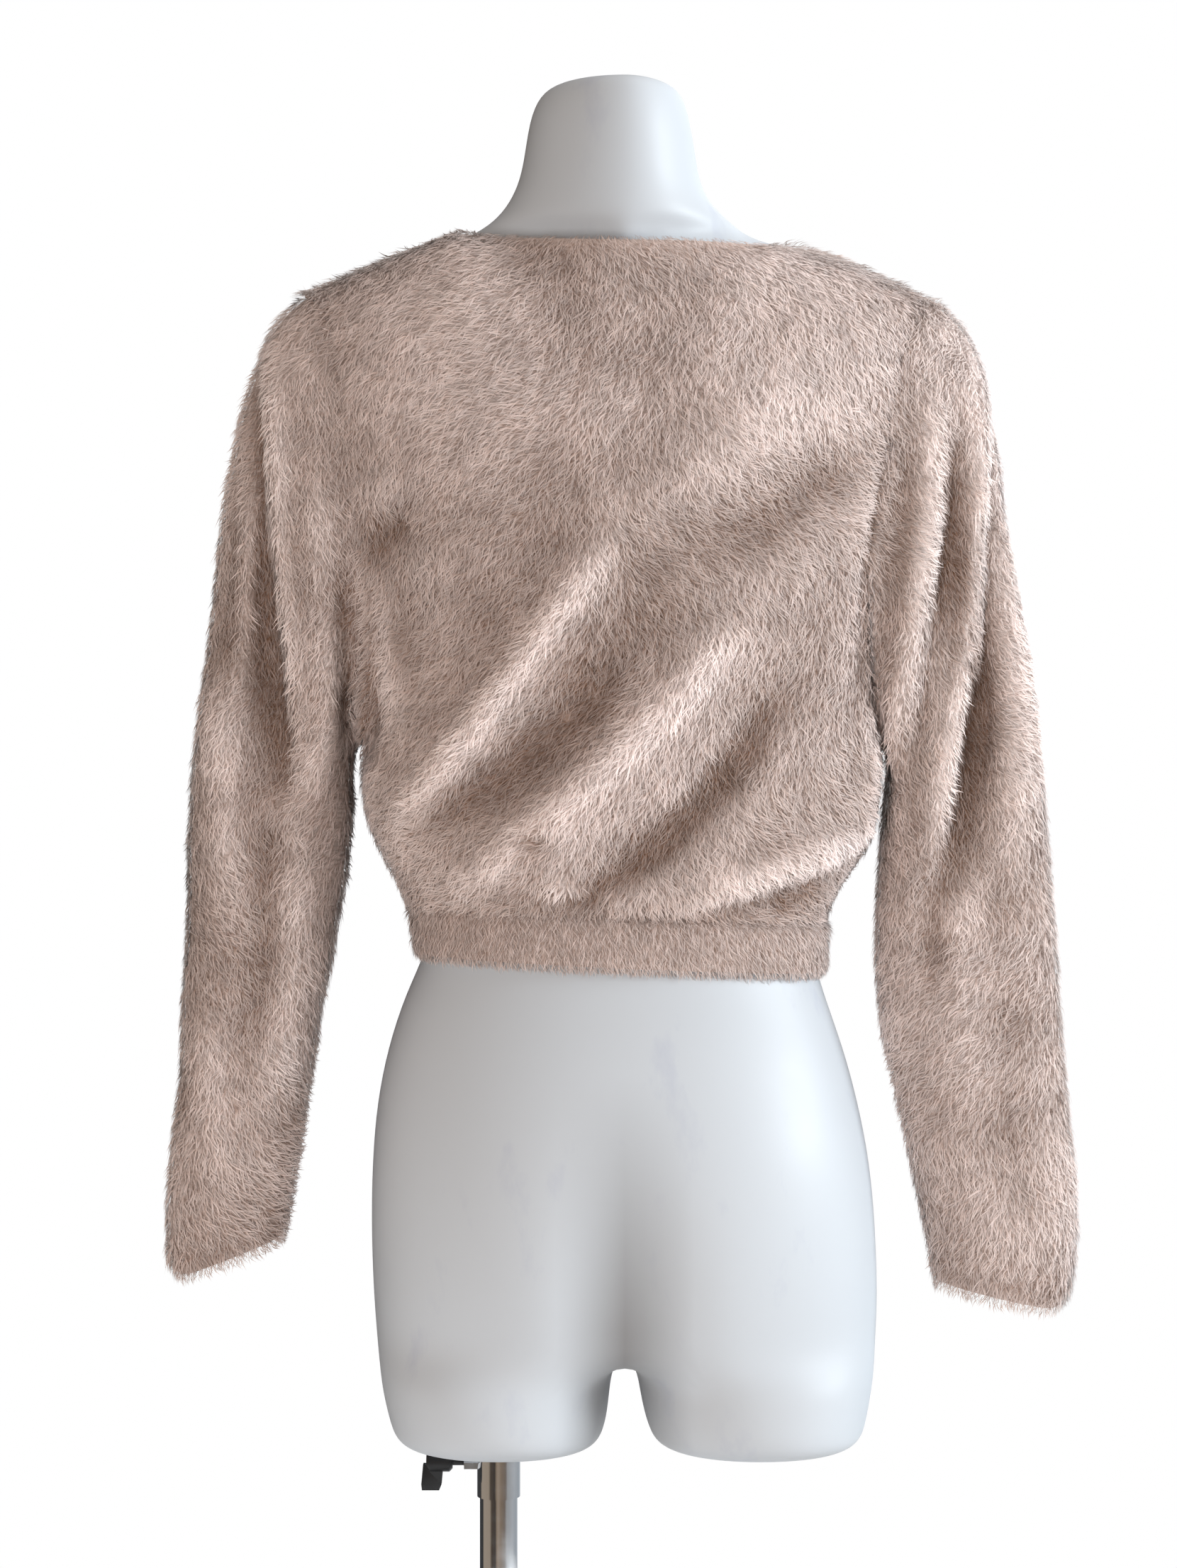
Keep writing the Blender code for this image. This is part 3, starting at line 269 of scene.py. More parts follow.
satin_steel, steel_shader = shade("satin_steel", 0.34, 1.0)
steel_shader.inputs["Base Color"].default_value = (0.62, 0.62, 0.63, 1)
marked(satin_steel, steel_shader, 14.0, 0.3, 0.42)
steel_where = node(satin_steel, "ShaderNodeTexCoord")
lathe_rings = node(satin_steel, "ShaderNodeTexWave", scale=90.0, distortion=0.4)
lathe_rings.wave_type = "RINGS"
lathe_rings.rings_direction = "Z"
ring_bump = node(satin_steel, "ShaderNodeBump", strength=0.12, distance=0.0002)
link(satin_steel, steel_where.outputs["Object"], lathe_rings.inputs["Vector"])
link(satin_steel, lathe_rings.outputs["Fac"], ring_bump.inputs["Height"])
link(satin_steel, ring_bump.outputs["Normal"], steel_shader.inputs["Normal"])

BASE_ROUNDING = 0.003
BASE_CHAMFER = 0.001
base_low, base_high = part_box("base_plate")
base_radius = base_high.x
base_profile = [(0, base_low.z), (base_radius - BASE_CHAMFER, base_low.z),
                (base_radius, base_low.z + BASE_CHAMFER)]
base_profile += rounded(BASE_ROUNDING, base_radius, base_high.z, -1, -1)
base_profile += [(0, base_high.z)]
base_plate = add_piece("base_plate_steel", turned("base_plate", base_profile, (0, 0, 0)),
                       satin_steel, "dressed_form")
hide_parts("base_plate")

# Pole flange
# A chromed cup that holds the foot of the pole to the plate, with three countersunk screws.

chrome, chrome_shader = shade("chrome", 0.08, 1.0)
chrome_shader.inputs["Base Color"].default_value = (0.80, 0.81, 0.83, 1)
marked(chrome, chrome_shader, 55.0, 0.05, 0.15)

flange_low, flange_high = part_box("pole_flange")
pole_low, pole_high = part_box("pole")
pole_x = (pole_low.x + pole_high.x) / 2
pole_radius = (pole_high.x - pole_low.x) / 2
flange_radius = (flange_high.x - flange_low.x) / 2
FLANGE_CLEARANCE = 0.0003
FLANGE_ROUNDING = 0.0022
flange_bore = pole_radius + FLANGE_CLEARANCE
flange_profile = [(flange_bore, flange_low.z), (flange_radius, flange_low.z)]
flange_profile += rounded(FLANGE_ROUNDING, flange_radius, flange_high.z, -1, -1)
flange_profile += [(flange_bore, flange_high.z), (flange_bore, flange_low.z)]
flange = add_piece("pole_flange_chrome", turned("pole_flange", flange_profile, (pole_x, 0, 0)),
                   chrome, "dressed_form")
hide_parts("pole_flange")

FLANGE_SCREWS = 3
SCREW_HEAD_RADIUS = 0.0034
screw_circle = (flange_radius + flange_bore) / 2
for number in range(FLANGE_SCREWS):
    turn = math.tau * (number + 0.5) / FLANGE_SCREWS
    place = (pole_x + screw_circle * math.cos(turn), screw_circle * math.sin(turn),
             flange_high.z - 0.0002)
    head = [(0, -0.0002), (SCREW_HEAD_RADIUS, -0.0002), (SCREW_HEAD_RADIUS, 0.0005),
            (SCREW_HEAD_RADIUS * 0.8, 0.0011), (SCREW_HEAD_RADIUS * 0.45, 0.0012),
            (SCREW_HEAD_RADIUS * 0.4, 0.0002), (0, 0.0002)]
    add_piece(f"flange_screw_{number + 1}", turned("flange_screw", head, place, 24),
              satin_steel, "dressed_form")

# Pole
# A chromed steel tube of 24 mm, which stands under the left thigh.

CHAMFER = 0.0006
pole_profile = [(0, pole_low.z), (pole_radius - CHAMFER, pole_low.z),
                (pole_radius, pole_low.z + CHAMFER), (pole_radius, pole_high.z - CHAMFER),
                (pole_radius - CHAMFER, pole_high.z), (0, pole_high.z)]
pole = add_piece("pole_tube", turned("pole", pole_profile, (pole_x, 0, 0)),
                 chrome, "dressed_form")
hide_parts("pole")

# Pole collar
# The sleeve under the thigh that the pole slides in. Its boss takes the clamp screw.


def merged_copy(name):
    """A CAD node's mesh as one joined surface, with its doubled points merged."""
    mesh = cad[name].data.copy()
    mesh.name = name
    joined = bmesh.new()
    joined.from_mesh(mesh)
    bmesh.ops.remove_doubles(joined, verts=joined.verts, dist=2e-6)
    joined.to_mesh(mesh)
    joined.free()
    if "custom_normal" in mesh.attributes:
        mesh.attributes.remove(mesh.attributes["custom_normal"])
    return mesh


def finished(name, mesh, modifiers):
    """The mesh with these modifiers applied, each as (type, its settings)."""
    worker = bpy.data.objects.new(name, mesh)
    bpy.context.scene.collection.objects.link(worker)
    for kind, settings in modifiers:
        modifier = worker.modifiers.new(kind.lower(), kind)
        for setting, value in settings.items():
            setattr(modifier, setting, value)
    graph = bpy.context.evaluated_depsgraph_get()
    made = bpy.data.meshes.new_from_object(worker.evaluated_get(graph))
    made.name = name
    bpy.data.objects.remove(worker)
    return made


collar_mesh = merged_copy("pole_collar")
smooth(collar_mesh, 30)
collar = add_piece("pole_collar_chrome", collar_mesh, chrome, "dressed_form")
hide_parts("pole_collar")

# Clamp knob
# A moulded black grip with a wing, on a blackened screw that goes into the collar's boss. It
# is turned by hand to let the form down.

black_plastic, plastic_shader = shade("black_plastic", 0.38)
plastic_shader.inputs["Base Color"].default_value = (0.012, 0.012, 0.013, 1)
plastic_shader.inputs["Specular IOR Level"].default_value = 0.45
marked(black_plastic, plastic_shader, 90.0, 0.3, 0.5)
plastic_where = node(black_plastic, "ShaderNodeTexCoord")
moulded_grain = node(black_plastic, "ShaderNodeTexNoise", scale=2200.0)
grain_bump = node(black_plastic, "ShaderNodeBump", strength=0.25, distance=0.0001)
link(black_plastic, plastic_where.outputs["Object"], moulded_grain.inputs["Vector"])
link(black_plastic, moulded_grain.outputs["Fac"], grain_bump.inputs["Height"])
link(black_plastic, grain_bump.outputs["Normal"], plastic_shader.inputs["Normal"])

EDGE_ROUNDING = {"width": 0.0005, "segments": 2, "limit_method": "ANGLE",
                 "angle_limit": math.radians(35), "harden_normals": False}
knob_mesh = finished("clamp_knob", merged_copy("clamp_knob"), [("BEVEL", EDGE_ROUNDING)])
smooth(knob_mesh, 40)
knob = add_piece("clamp_knob_moulding", knob_mesh, black_plastic, "knob")
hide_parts("clamp_knob")

# Dress form
# A limbless display form of painted glass fibre: a neck with a flat cap, shoulders, waist,
# hips and two short thighs. The paint is satin white, with faint scuffs from handling, and
# painted shade darkens it in the hollow between the thighs.

form_paint, paint_shader = shade("form_paint", 0.42)
paint_shader.inputs["Specular IOR Level"].default_value = 0.4
paint_where = node(form_paint, "ShaderNodeTexCoord")
scuff_stretch = node(form_paint, "ShaderNodeMapping")
scuff_stretch.inputs["Scale"].default_value = (1.0, 1.0, 0.45)
scuff_noise = node(form_paint, "ShaderNodeTexNoise", scale=24.0, detail=8.0, roughness=0.62)
scuff_ramp = form_paint.node_tree.nodes.new("ShaderNodeValToRGB")
scuff_ramp.color_ramp.elements[0].position = 0.58
scuff_ramp.color_ramp.elements[0].color = (0, 0, 0, 1)
scuff_ramp.color_ramp.elements[1].position = 0.80
scuff_ramp.color_ramp.elements[1].color = (0.55, 0.55, 0.55, 1)
scuffed = form_paint.node_tree.nodes.new("ShaderNodeMix")
scuffed.data_type = "RGBA"
scuffed.inputs["A"].default_value = (0.53, 0.55, 0.575, 1)
scuffed.inputs["B"].default_value = (0.37, 0.385, 0.48, 1)
# Painted shade: the paint is mixed towards a dark grey in the hollow between the thighs.
hollow_read = node(form_paint, "ShaderNodeAttribute")
hollow_read.attribute_name = "hollow"
hollow_painted_shade = form_paint.node_tree.nodes.new("ShaderNodeMix")
hollow_painted_shade.data_type = "RGBA"
hollow_painted_shade.inputs["B"].default_value = (0.24, 0.235, 0.235, 1)
paint_grain = node(form_paint, "ShaderNodeTexNoise", scale=700.0, detail=2.0)
paint_bump = node(form_paint, "ShaderNodeBump", strength=0.05, distance=0.0003)
for out, into in (
        (paint_where.outputs["Object"], scuff_stretch.inputs["Vector"]),
        (scuff_stretch.outputs["Vector"], scuff_noise.inputs["Vector"]),
        (scuff_noise.outputs["Fac"], scuff_ramp.inputs["Fac"]),
        (scuff_ramp.outputs["Color"], scuffed.inputs["Factor"]),
        (scuffed.outputs["Result"], hollow_painted_shade.inputs["A"]),
        (hollow_read.outputs["Fac"], hollow_painted_shade.inputs["Factor"]),
        (hollow_painted_shade.outputs["Result"], paint_shader.inputs["Base Color"]),
        (paint_where.outputs["Object"], paint_grain.inputs["Vector"]),
        (paint_grain.outputs["Fac"], paint_bump.inputs["Height"]),
        (paint_bump.outputs["Normal"], paint_shader.inputs["Normal"])):
    link(form_paint, out, into)
marked(form_paint, paint_shader, 12.0, 0.44, 0.58)

SUBDIVIDED = {"levels": 2, "render_levels": 2}
HOLLOW_X = -0.001
HOLLOW_HALF_WIDTH = 0.042
HOLLOW_TOP = 0.66
HOLLOW_FADE = 0.16


def pair_triangles(surface):
    """Pairs a bmesh's triangles into quads, which subdivide more smoothly."""
    bmesh.ops.join_triangles(surface, faces=surface.faces,
                             angle_face_threshold=math.radians(50),
                             angle_shape_threshold=math.radians(60))


def in_hollow(place):
    """How deep in the hollow of the form's back a place lies, from 0 to 1, for its painted
    shade.
    """
    across = 1 - abs(place.x - HOLLOW_X) / HOLLOW_HALF_WIDTH
    down = (HOLLOW_TOP - place.z) / HOLLOW_FADE
    return max(0.0, across) * min(1.0, max(0.0, down)) * (place.y > 0)


form_shell = merged_copy("dress_form")
paired = bmesh.new()
paired.from_mesh(form_shell)
pair_triangles(paired)
paired.to_mesh(form_shell)
paired.free()
form_mesh = finished("dress_form", form_shell, [("SUBSURF", SUBDIVIDED)])
smooth(form_mesh, 60)
hollows = form_mesh.attributes.new("hollow", "FLOAT", "POINT")
hollows.data.foreach_set("value", [in_hollow(vertex.co) for vertex in form_mesh.vertices])
form = add_piece("dress_form_shell", form_mesh, form_paint, "dressed_form")
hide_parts("dress_form")

# Back of the cardigan
# One knitted panel from the ribbed hem to the shoulder seams and the wide neckline. The yarn
# is brushed into a long soft pile that lies downwards and turns a little here and there.

KNIT_THICKNESS = 0.0014
EDGE_ANGLE = math.radians(48)


def outer_sheet(name):
    """The outer side of a cloth node's wall, as bmesh faces without its rims and inner side."""
    sheet = bmesh.new()
    sheet.from_mesh(merged_copy(name))
    sheet.faces.ensure_lookup_table()
    left = set(sheet.faces)
    sides = []
    while left:
        side = [left.pop()]
        for face in side:
            for edge in face.edges:
                for other in edge.link_faces:
                    if other in left and edge.calc_face_angle(math.pi) < EDGE_ANGLE:
                        left.discard(other)
                        side.append(other)
        sides.append(side)
    outside = set(max(sides, key=lambda faces: sum(face.calc_area() for face in faces)))
    rest = [face for face in sheet.faces if face not in outside]
    bmesh.ops.delete(sheet, geom=rest, context="FACES")
    pair_triangles(sheet)
    return sheet


COMB_SWIRL = 1.4
SWIRLS_PER_METRE = 7.0
SMALL_SWIRL = 0.35
SMALL_SWIRLS_MORE = 3.1
OVER_THE_EDGE = 0.6


def combed(mesh, swirl, lean):
    """Stores which way the pile lies: down the cloth, or over its edge, with soft swirls."""
    comb = mesh.attributes.new("comb", "FLOAT_VECTOR", "POINT")
    for vertex, value in zip(mesh.vertices, comb.data):
        normal = vertex.normal
        down = Vector((lean * vertex.co.x, 0, -1))
        outward = Vector((vertex.co.x, math.copysign(OVER_THE_EDGE, vertex.co.y), 0))
        wanted = down + outward * normal.z
        along = wanted - normal * wanted.dot(normal)
        turn = swirl * noise.noise(vertex.co * SWIRLS_PER_METRE)
        turn += SMALL_SWIRL * swirl * noise.noise(
            vertex.co * SWIRLS_PER_METRE * SMALL_SWIRLS_MORE)
        value.vector = Matrix.Rotation(turn, 3, normal) @ along.normalized()


# A crease runs through three places on the panel, seen square on. It lifts the cloth by its
# height, or sinks it, and fades out at its half width and at its ends.
Crease = namedtuple("Crease", "start_x start_z middle_x middle_z end_x end_z half_width height")
CREASE_SAMPLES = 65
CREASE_END = 0.3
CREASE_GROWS = 3


def crease_lift(creases, x, z):
    """How far the creases lift or sink the cloth at each place, seen square on."""
    lift = np.zeros(len(x))
    share = np.linspace(0, 1, CREASE_SAMPLES)
    for crease in creases:
        bend_x = 2 * crease.middle_x - (crease.start_x + crease.end_x) / 2
        bend_z = 2 * crease.middle_z - (crease.start_z + crease.end_z) / 2
        line_x = ((1 - share) ** 2 * crease.start_x + 2 * share * (1 - share) * bend_x
                  + share ** 2 * crease.end_x)
        line_z = ((1 - share) ** 2 * crease.start_z + 2 * share * (1 - share) * bend_z
                  + share ** 2 * crease.end_z)
        away = np.hypot(x[:, None] - line_x, z[:, None] - line_z)
        along = share[away.argmin(axis=1)]
        ends = np.minimum(1.0, CREASE_END + CREASE_GROWS * np.minimum(along, 1 - along))
        lift += crease.height * ends * np.exp(-(away.min(axis=1) / crease.half_width) ** 2)
    return lift


def nearest_of(places):
    """A search tree that finds the nearest of these places."""
    tree = kdtree.KDTree(len(places))
    for number, place in enumerate(places):
        tree.insert(place, number)
    tree.balance()
    return tree


def edge_shares(mesh, reach):
    """For each point 0 on the mesh's edges, rising to 1 at some reach from them."""
    measured = bmesh.new()
    measured.from_mesh(mesh)
    nearest_end = nearest_of([vertex.co for vertex in measured.verts if vertex.is_boundary])
    away = np.array([nearest_end.find(vertex.co)[2] for vertex in measured.verts])
    measured.free()
    return np.clip(away / reach, 0, 1)


FOLD_MIDDLE = 0.0004
FOLD_REACH = 0.0032
SEAM_REACH = 0.010
SEAM_CREASE = 0.008


def note_folds(mesh, rounds, at_seams):
    """Stores at each point how far it stands above or below the cloth round it, from -1 to 1.

    At a seam, where the sheet itself stays level, it notes the crease that crosses there.
    The yarn's colour paints shade in creases and a highlight on folds from this value.
    """
    places = np.array([vertex.co for vertex in mesh.vertices])
    ends = np.array([edge.vertices for edge in mesh.edges])
    neighbours = np.bincount(ends.ravel(), minlength=len(places))[:, None]
    even = places.copy()
    for _ in range(rounds):
        total = np.zeros_like(even)
        np.add.at(total, ends[:, 0], even[ends[:, 1]])
        np.add.at(total, ends[:, 1], even[ends[:, 0]])
        even = total / np.maximum(neighbours, 1)
    normals = np.array([vertex.normal for vertex in mesh.vertices])
    above = ((places - even) * normals).sum(axis=1) - FOLD_MIDDLE
    fold = mesh.attributes.new("fold", "FLOAT", "POINT")
    inside = edge_shares(mesh, SEAM_REACH)
    value = np.clip(np.clip(above / FOLD_REACH, -1, 1) * inside
                    + at_seams / SEAM_CREASE * (1 - inside), -1, 1)
    fold.data.foreach_set("value", value.astype(np.float32))


PILE_ROOM = 0.0030
SEAM_ROOM = 0.6
RIPPLE_HEIGHT = 0.0012
RIPPLES_PER_METRE = 28.0
CREASED_FROM = 0.05
CREASED_OVER = 0.4
EVENING_ROUNDS = 6


def knit_sheet(name, levels, creases, facing, sunk=0.0):
    """A cloth node's outer side, smoothed and creased, set in to leave room for its pile.

    The creases fade where the cloth turns away from the side that it faces: 1 for the form's
    back, -1 for its front.
    """
    sheet = outer_sheet(name)
    flat = bpy.data.meshes.new(name)
    sheet.to_mesh(flat)
    sheet.free()
    smoothed = finished(name, flat, [
        ("SUBSURF", {"levels": levels, "render_levels": levels,
                     "boundary_smooth": "PRESERVE_CORNERS"})])
    normals = [vertex.normal.copy() for vertex in smoothed.vertices]
    shares = edge_shares(smoothed, SEAM_REACH)
    places = np.array([vertex.co for vertex in smoothed.vertices])
    lifts = crease_lift(creases, places[:, 0], places[:, 2])
    lifts *= [min(1.0, max(0.0, (facing * normal.y - CREASED_FROM) / CREASED_OVER))
              for normal in normals]
    for vertex, normal, share, lift in zip(smoothed.vertices, normals, shares, lifts):
        ripple = RIPPLE_HEIGHT * noise.noise(vertex.co * RIPPLES_PER_METRE)
        room = PILE_ROOM * (SEAM_ROOM + (1 - SEAM_ROOM) * share)
        vertex.co += normal * (share * (lift + ripple) - room - sunk)
    smoothed.update()
    note_folds(smoothed, EVENING_ROUNDS * 4 ** (levels - 1), lifts)
    return smoothed


EDGE_TRIM = 0.62
TRIMMED_FOR = 0.005
OPEN_BELOW = 0.745
NECK_ABOVE = 1.15
NECK_HALF_WIDTH = 0.13
SEAM_OVERLAP = 0.0030
SHOULDER_TIP = (0.205, 1.152)


def at_open_edge(vertex):
    """Whether a point is on the hem, a cuff or the neckline, and not on a seam."""
    at_neck = vertex.co.z > NECK_ABOVE and abs(vertex.co.x) < NECK_HALF_WIDTH
    return vertex.is_boundary and (vertex.co.z < OPEN_BELOW or at_neck)


def over_seam(vertex):
    """The way from a point on a seam to where the cloth runs on under its neighbour."""
    near = [face.calc_center_median() for face in vertex.link_faces]
    outward = vertex.co - sum(near, Vector()) / len(near)
    outward -= vertex.normal * outward.dot(vertex.normal)
    return outward.normalized() * SEAM_OVERLAP


def with_rim(sheet_mesh, depth, tip_reach=0.0):
    """The sheet that carries the pile, turned in at its open edges and drawn over its seams.

    The pile is shorter along the open edges, as it is where cloth is turned over, and within
    tip_reach of the shoulder's tip. The rim keeps the normals of the outer side.
    """
    turned_in = bmesh.new()
    turned_in.from_mesh(sheet_mesh)
    turned_in.normal_update()
    ends = [vertex for vertex in turned_in.verts if at_open_edge(vertex)]
    open_ends = set(ends)
    border = [edge for edge in turned_in.edges
              if edge.is_boundary and (depth or not open_ends.issuperset(edge.verts))]
    nearest_end = nearest_of([vertex.co for vertex in ends])
    left_on = turned_in.verts.layers.float.new("trimmed")
    faces = turned_in.verts.layers.float_vector.new("cloth_normal")
    for vertex in turned_in.verts:
        share = min(1.0, nearest_end.find(vertex.co)[2] / TRIMMED_FOR) if ends else 1.0
        if tip_reach:
            from_tip = math.hypot(abs(vertex.co.x) - SHOULDER_TIP[0],
                                  vertex.co.z - SHOULDER_TIP[1])
            share = min(share, from_tip / tip_reach)
        vertex[left_on] = EDGE_TRIM + (1 - EDGE_TRIM) * share
        vertex[faces] = vertex.normal
    moves = {vertex: vertex.normal * -depth if vertex in open_ends else over_seam(vertex)
             for vertex in turned_in.verts if vertex.is_boundary}
    beyond = {}
    for edge in border:
        loop = edge.link_loops[0]
        corners = (loop.link_loop_next.vert, loop.vert)
        for vertex in corners:
            if vertex not in beyond:
                beyond[vertex] = turned_in.verts.new(vertex.co + moves[vertex])
                beyond[vertex][left_on] = vertex[left_on]
                beyond[vertex][faces] = vertex[faces]
        turned_in.faces.new((*corners, beyond[corners[1]], beyond[corners[0]]))
    turned_in.normal_update()
    carrier = bpy.data.meshes.new(sheet_mesh.name)
    turned_in.to_mesh(carrier)
    turned_in.free()
    return carrier


# One tuft of fibres, a metre long before it is scaled: it rises, bends over and ends in a point.
TUFT_WIDTH = 0.066
BEND_ALONG = 0.45
BEND_ASIDE = -0.07
BEND_RISE = 0.16
TIP_ASIDE = 0.04
TIP_RISE = 0.19
tuft_mesh = bpy.data.meshes.new("tuft")
tuft_mesh.from_pydata(
    [(0, 0, 0), (BEND_ALONG, BEND_ASIDE - TUFT_WIDTH / 2, BEND_RISE),
     (BEND_ALONG, BEND_ASIDE + TUFT_WIDTH / 2, BEND_RISE), (1, TIP_ASIDE, TIP_RISE)],
    [], [(0, 1, 2), (1, 3, 2)])
tuft_mesh.shade_smooth()
tip = tuft_mesh.attributes.new("tip", "FLOAT", "POINT")
tip.data.foreach_set("value", (0.0, 0.55, 0.55, 1.0))
tuft = bpy.data.objects.new("tuft", tuft_mesh)

# The pile: tufts planted at random over the cloth between two heights. Each lies the way the
# cloth is combed, strays from it with its neighbours, and has its own length and tone.
pile_tree = bpy.data.node_groups.new("brushed_pile", "GeometryNodeTree")
PILE_INPUTS = (("Cloth", "Geometry"), ("Tuft", "Object"), ("Tufts per square metre", "Float"),
               ("Length", "Float"), ("Rise", "Float"), ("Disorder", "Float"),
               ("Lowest", "Float"), ("Highest", "Float"), ("Seed", "Int"),
               ("Yarn", "Material"))
pile_sockets = {}
for label, kind in PILE_INPUTS:
    made = pile_tree.interface.new_socket(label, in_out="INPUT",
                                          socket_type="NodeSocket" + kind)
    pile_sockets[label] = made.identifier
pile_tree.interface.new_socket("Pile", in_out="OUTPUT", socket_type="NodeSocketGeometry")


def grown(kind, **settings):
    """A new node in the pile's tree, with its settings."""
    made = pile_tree.nodes.new(kind)
    for name, value in settings.items():
        setattr(made, name, value)
    return made


given = grown("NodeGroupInput").outputs
scatter = grown("GeometryNodeDistributePointsOnFaces")
too_low = grown("FunctionNodeCompare", operation="LESS_THAN")
too_high = grown("FunctionNodeCompare", operation="GREATER_THAN")
out_of_band = grown("FunctionNodeBooleanMath", operation="OR")
trim = grown("GeometryNodeDeleteGeometry")
position = grown("GeometryNodeInputPosition")
height = grown("ShaderNodeSeparateXYZ")
comb_read = grown("GeometryNodeInputNamedAttribute", data_type="FLOAT_VECTOR")
comb_read.inputs["Name"].default_value = "comb"
trim_read = grown("GeometryNodeInputNamedAttribute", data_type="FLOAT")
trim_read.inputs["Name"].default_value = "trimmed"
trimmed = grown("ShaderNodeMath", operation="MULTIPLY")
clumps = grown("ShaderNodeTexNoise")
clumps.inputs["Scale"].default_value = 75.0
clumps.inputs["Detail"].default_value = 3.0
centred = grown("ShaderNodeVectorMath", operation="SUBTRACT")
centred.inputs[1].default_value = (0.5, 0.5, 0.5)
stray = grown("ShaderNodeVectorMath", operation="SCALE")
lie = grown("ShaderNodeVectorMath", operation="ADD")
upright = grown("FunctionNodeAlignRotationToVector", axis="Z")
lying = grown("FunctionNodeAlignRotationToVector", axis="X", pivot_axis="Z")
wobble = grown("FunctionNodeRandomValue", data_type="FLOAT_VECTOR")
wobble.inputs["Min"].default_value = (-0.5, -0.16, -0.62)
wobble.inputs["Max"].default_value = (0.5, 0.16, 0.62)
lifted = grown("ShaderNodeVectorMath", operation="ADD")
rise_vector = grown("ShaderNodeCombineXYZ")
turned_by = grown("FunctionNodeRotateRotation", rotation_space="LOCAL")
to_rotation = grown("FunctionNodeEulerToRotation")
lengths = grown("FunctionNodeRandomValue", data_type="FLOAT")
lengths.inputs[2].default_value = 0.5
lengths.inputs[3].default_value = 1.2
length = grown("ShaderNodeMath", operation="MULTIPLY")
tuft_read = grown("GeometryNodeObjectInfo")
planted = grown("GeometryNodeInstanceOnPoints")
tone = grown("FunctionNodeRandomValue", data_type="FLOAT")
toned = grown("GeometryNodeStoreNamedAttribute", data_type="FLOAT", domain="INSTANCE")
toned.inputs["Name"].default_value = "tone"
realised = grown("GeometryNodeRealizeInstances")
dyed = grown("GeometryNodeSetMaterial")
pile_out = grown("NodeGroupOutput")
for out, into in (
        (given["Cloth"], scatter.inputs["Mesh"]),
        (given["Tufts per square metre"], scatter.inputs["Density"]),
        (given["Seed"], scatter.inputs["Seed"]),
        (position.outputs["Position"], height.inputs["Vector"]),
        (height.outputs["Z"], too_low.inputs["A"]),
        (given["Lowest"], too_low.inputs["B"]),
        (height.outputs["Z"], too_high.inputs["A"]),
        (given["Highest"], too_high.inputs["B"]),
        (too_low.outputs["Result"], out_of_band.inputs[0]),
        (too_high.outputs["Result"], out_of_band.inputs[1]),
        (scatter.outputs["Points"], trim.inputs["Geometry"]),
        (out_of_band.outputs["Boolean"], trim.inputs["Selection"]),
        (position.outputs["Position"], clumps.inputs["Vector"]),
        (clumps.outputs["Color"], centred.inputs[0]),
        (centred.outputs["Vector"], stray.inputs["Vector"]),
        (given["Disorder"], stray.inputs["Scale"]),
        (comb_read.outputs["Attribute"], lie.inputs[0]),
        (stray.outputs["Vector"], lie.inputs[1]),
        (scatter.outputs["Normal"], upright.inputs["Vector"]),
        (upright.outputs["Rotation"], lying.inputs["Rotation"]),
        (lie.outputs["Vector"], lying.inputs["Vector"]),
        (given["Seed"], wobble.inputs["Seed"]),
        (given["Rise"], rise_vector.inputs["Y"]),
        (wobble.outputs["Value"], lifted.inputs[0]),
        (rise_vector.outputs["Vector"], lifted.inputs[1]),
        (lifted.outputs["Vector"], to_rotation.inputs["Euler"]),
        (lying.outputs["Rotation"], turned_by.inputs["Rotation"]),
        (to_rotation.outputs["Rotation"], turned_by.inputs["Rotate By"]),
        (given["Seed"], lengths.inputs["Seed"]),
        (given["Length"], length.inputs[0]),
        (lengths.outputs[1], length.inputs[1]),
        (given["Tuft"], tuft_read.inputs["Object"]),
        (trim.outputs["Geometry"], planted.inputs["Points"]),
        (tuft_read.outputs["Geometry"], planted.inputs["Instance"]),
        (turned_by.outputs["Rotation"], planted.inputs["Rotation"]),
        (length.outputs["Value"], trimmed.inputs[0]),
        (trim_read.outputs["Attribute"], trimmed.inputs[1]),
        (trimmed.outputs["Value"], planted.inputs["Scale"]),
        (given["Seed"], tone.inputs["Seed"]),
        (planted.outputs["Instances"], toned.inputs["Geometry"]),
        (tone.outputs[1], toned.inputs["Value"]),
        (toned.outputs["Geometry"], realised.inputs["Geometry"]),
        (realised.outputs["Geometry"], dyed.inputs["Geometry"]),
        (given["Yarn"], dyed.inputs["Material"]),
        (dyed.outputs["Geometry"], pile_out.inputs["Pile"])):
    pile_tree.links.new(out, into)


PILE_LENGTH = 0.0108
PILE_RISE = -0.05
PILE_DISORDER = 2.2


def brushed_pile(name, sheet_mesh, per_metre, seed, tuft_length=PILE_LENGTH,
                 disorder=PILE_DISORDER, lowest=0.0, highest=2.0, swirl=COMB_SWIRL, lean=0.4,
                 tip_reach=0.0):
    """Tufts over a sheet and its rims, from one height to another, as a plain mesh."""
    carrier = with_rim(sheet_mesh, KNIT_THICKNESS, tip_reach)
    combed(carrier, swirl, lean)
    worker = bpy.data.objects.new(name, carrier)
    bpy.context.scene.collection.objects.link(worker)
    modifier = worker.modifiers.new("pile", "NODES")
    modifier.node_group = pile_tree
    values = {"Tuft": tuft, "Tufts per square metre": per_metre, "Length": tuft_length,
              "Rise": PILE_RISE, "Disorder": disorder, "Lowest": lowest, "Highest": highest,
              "Seed": seed, "Yarn": brushed_yarn}
    for label, value in values.items():
        modifier[pile_sockets[label]] = value
    graph = bpy.context.evaluated_depsgraph_get()
    mesh = bpy.data.meshes.new_from_object(worker.evaluated_get(graph))
    mesh.name = name
    bpy.data.objects.remove(worker)
    return mesh
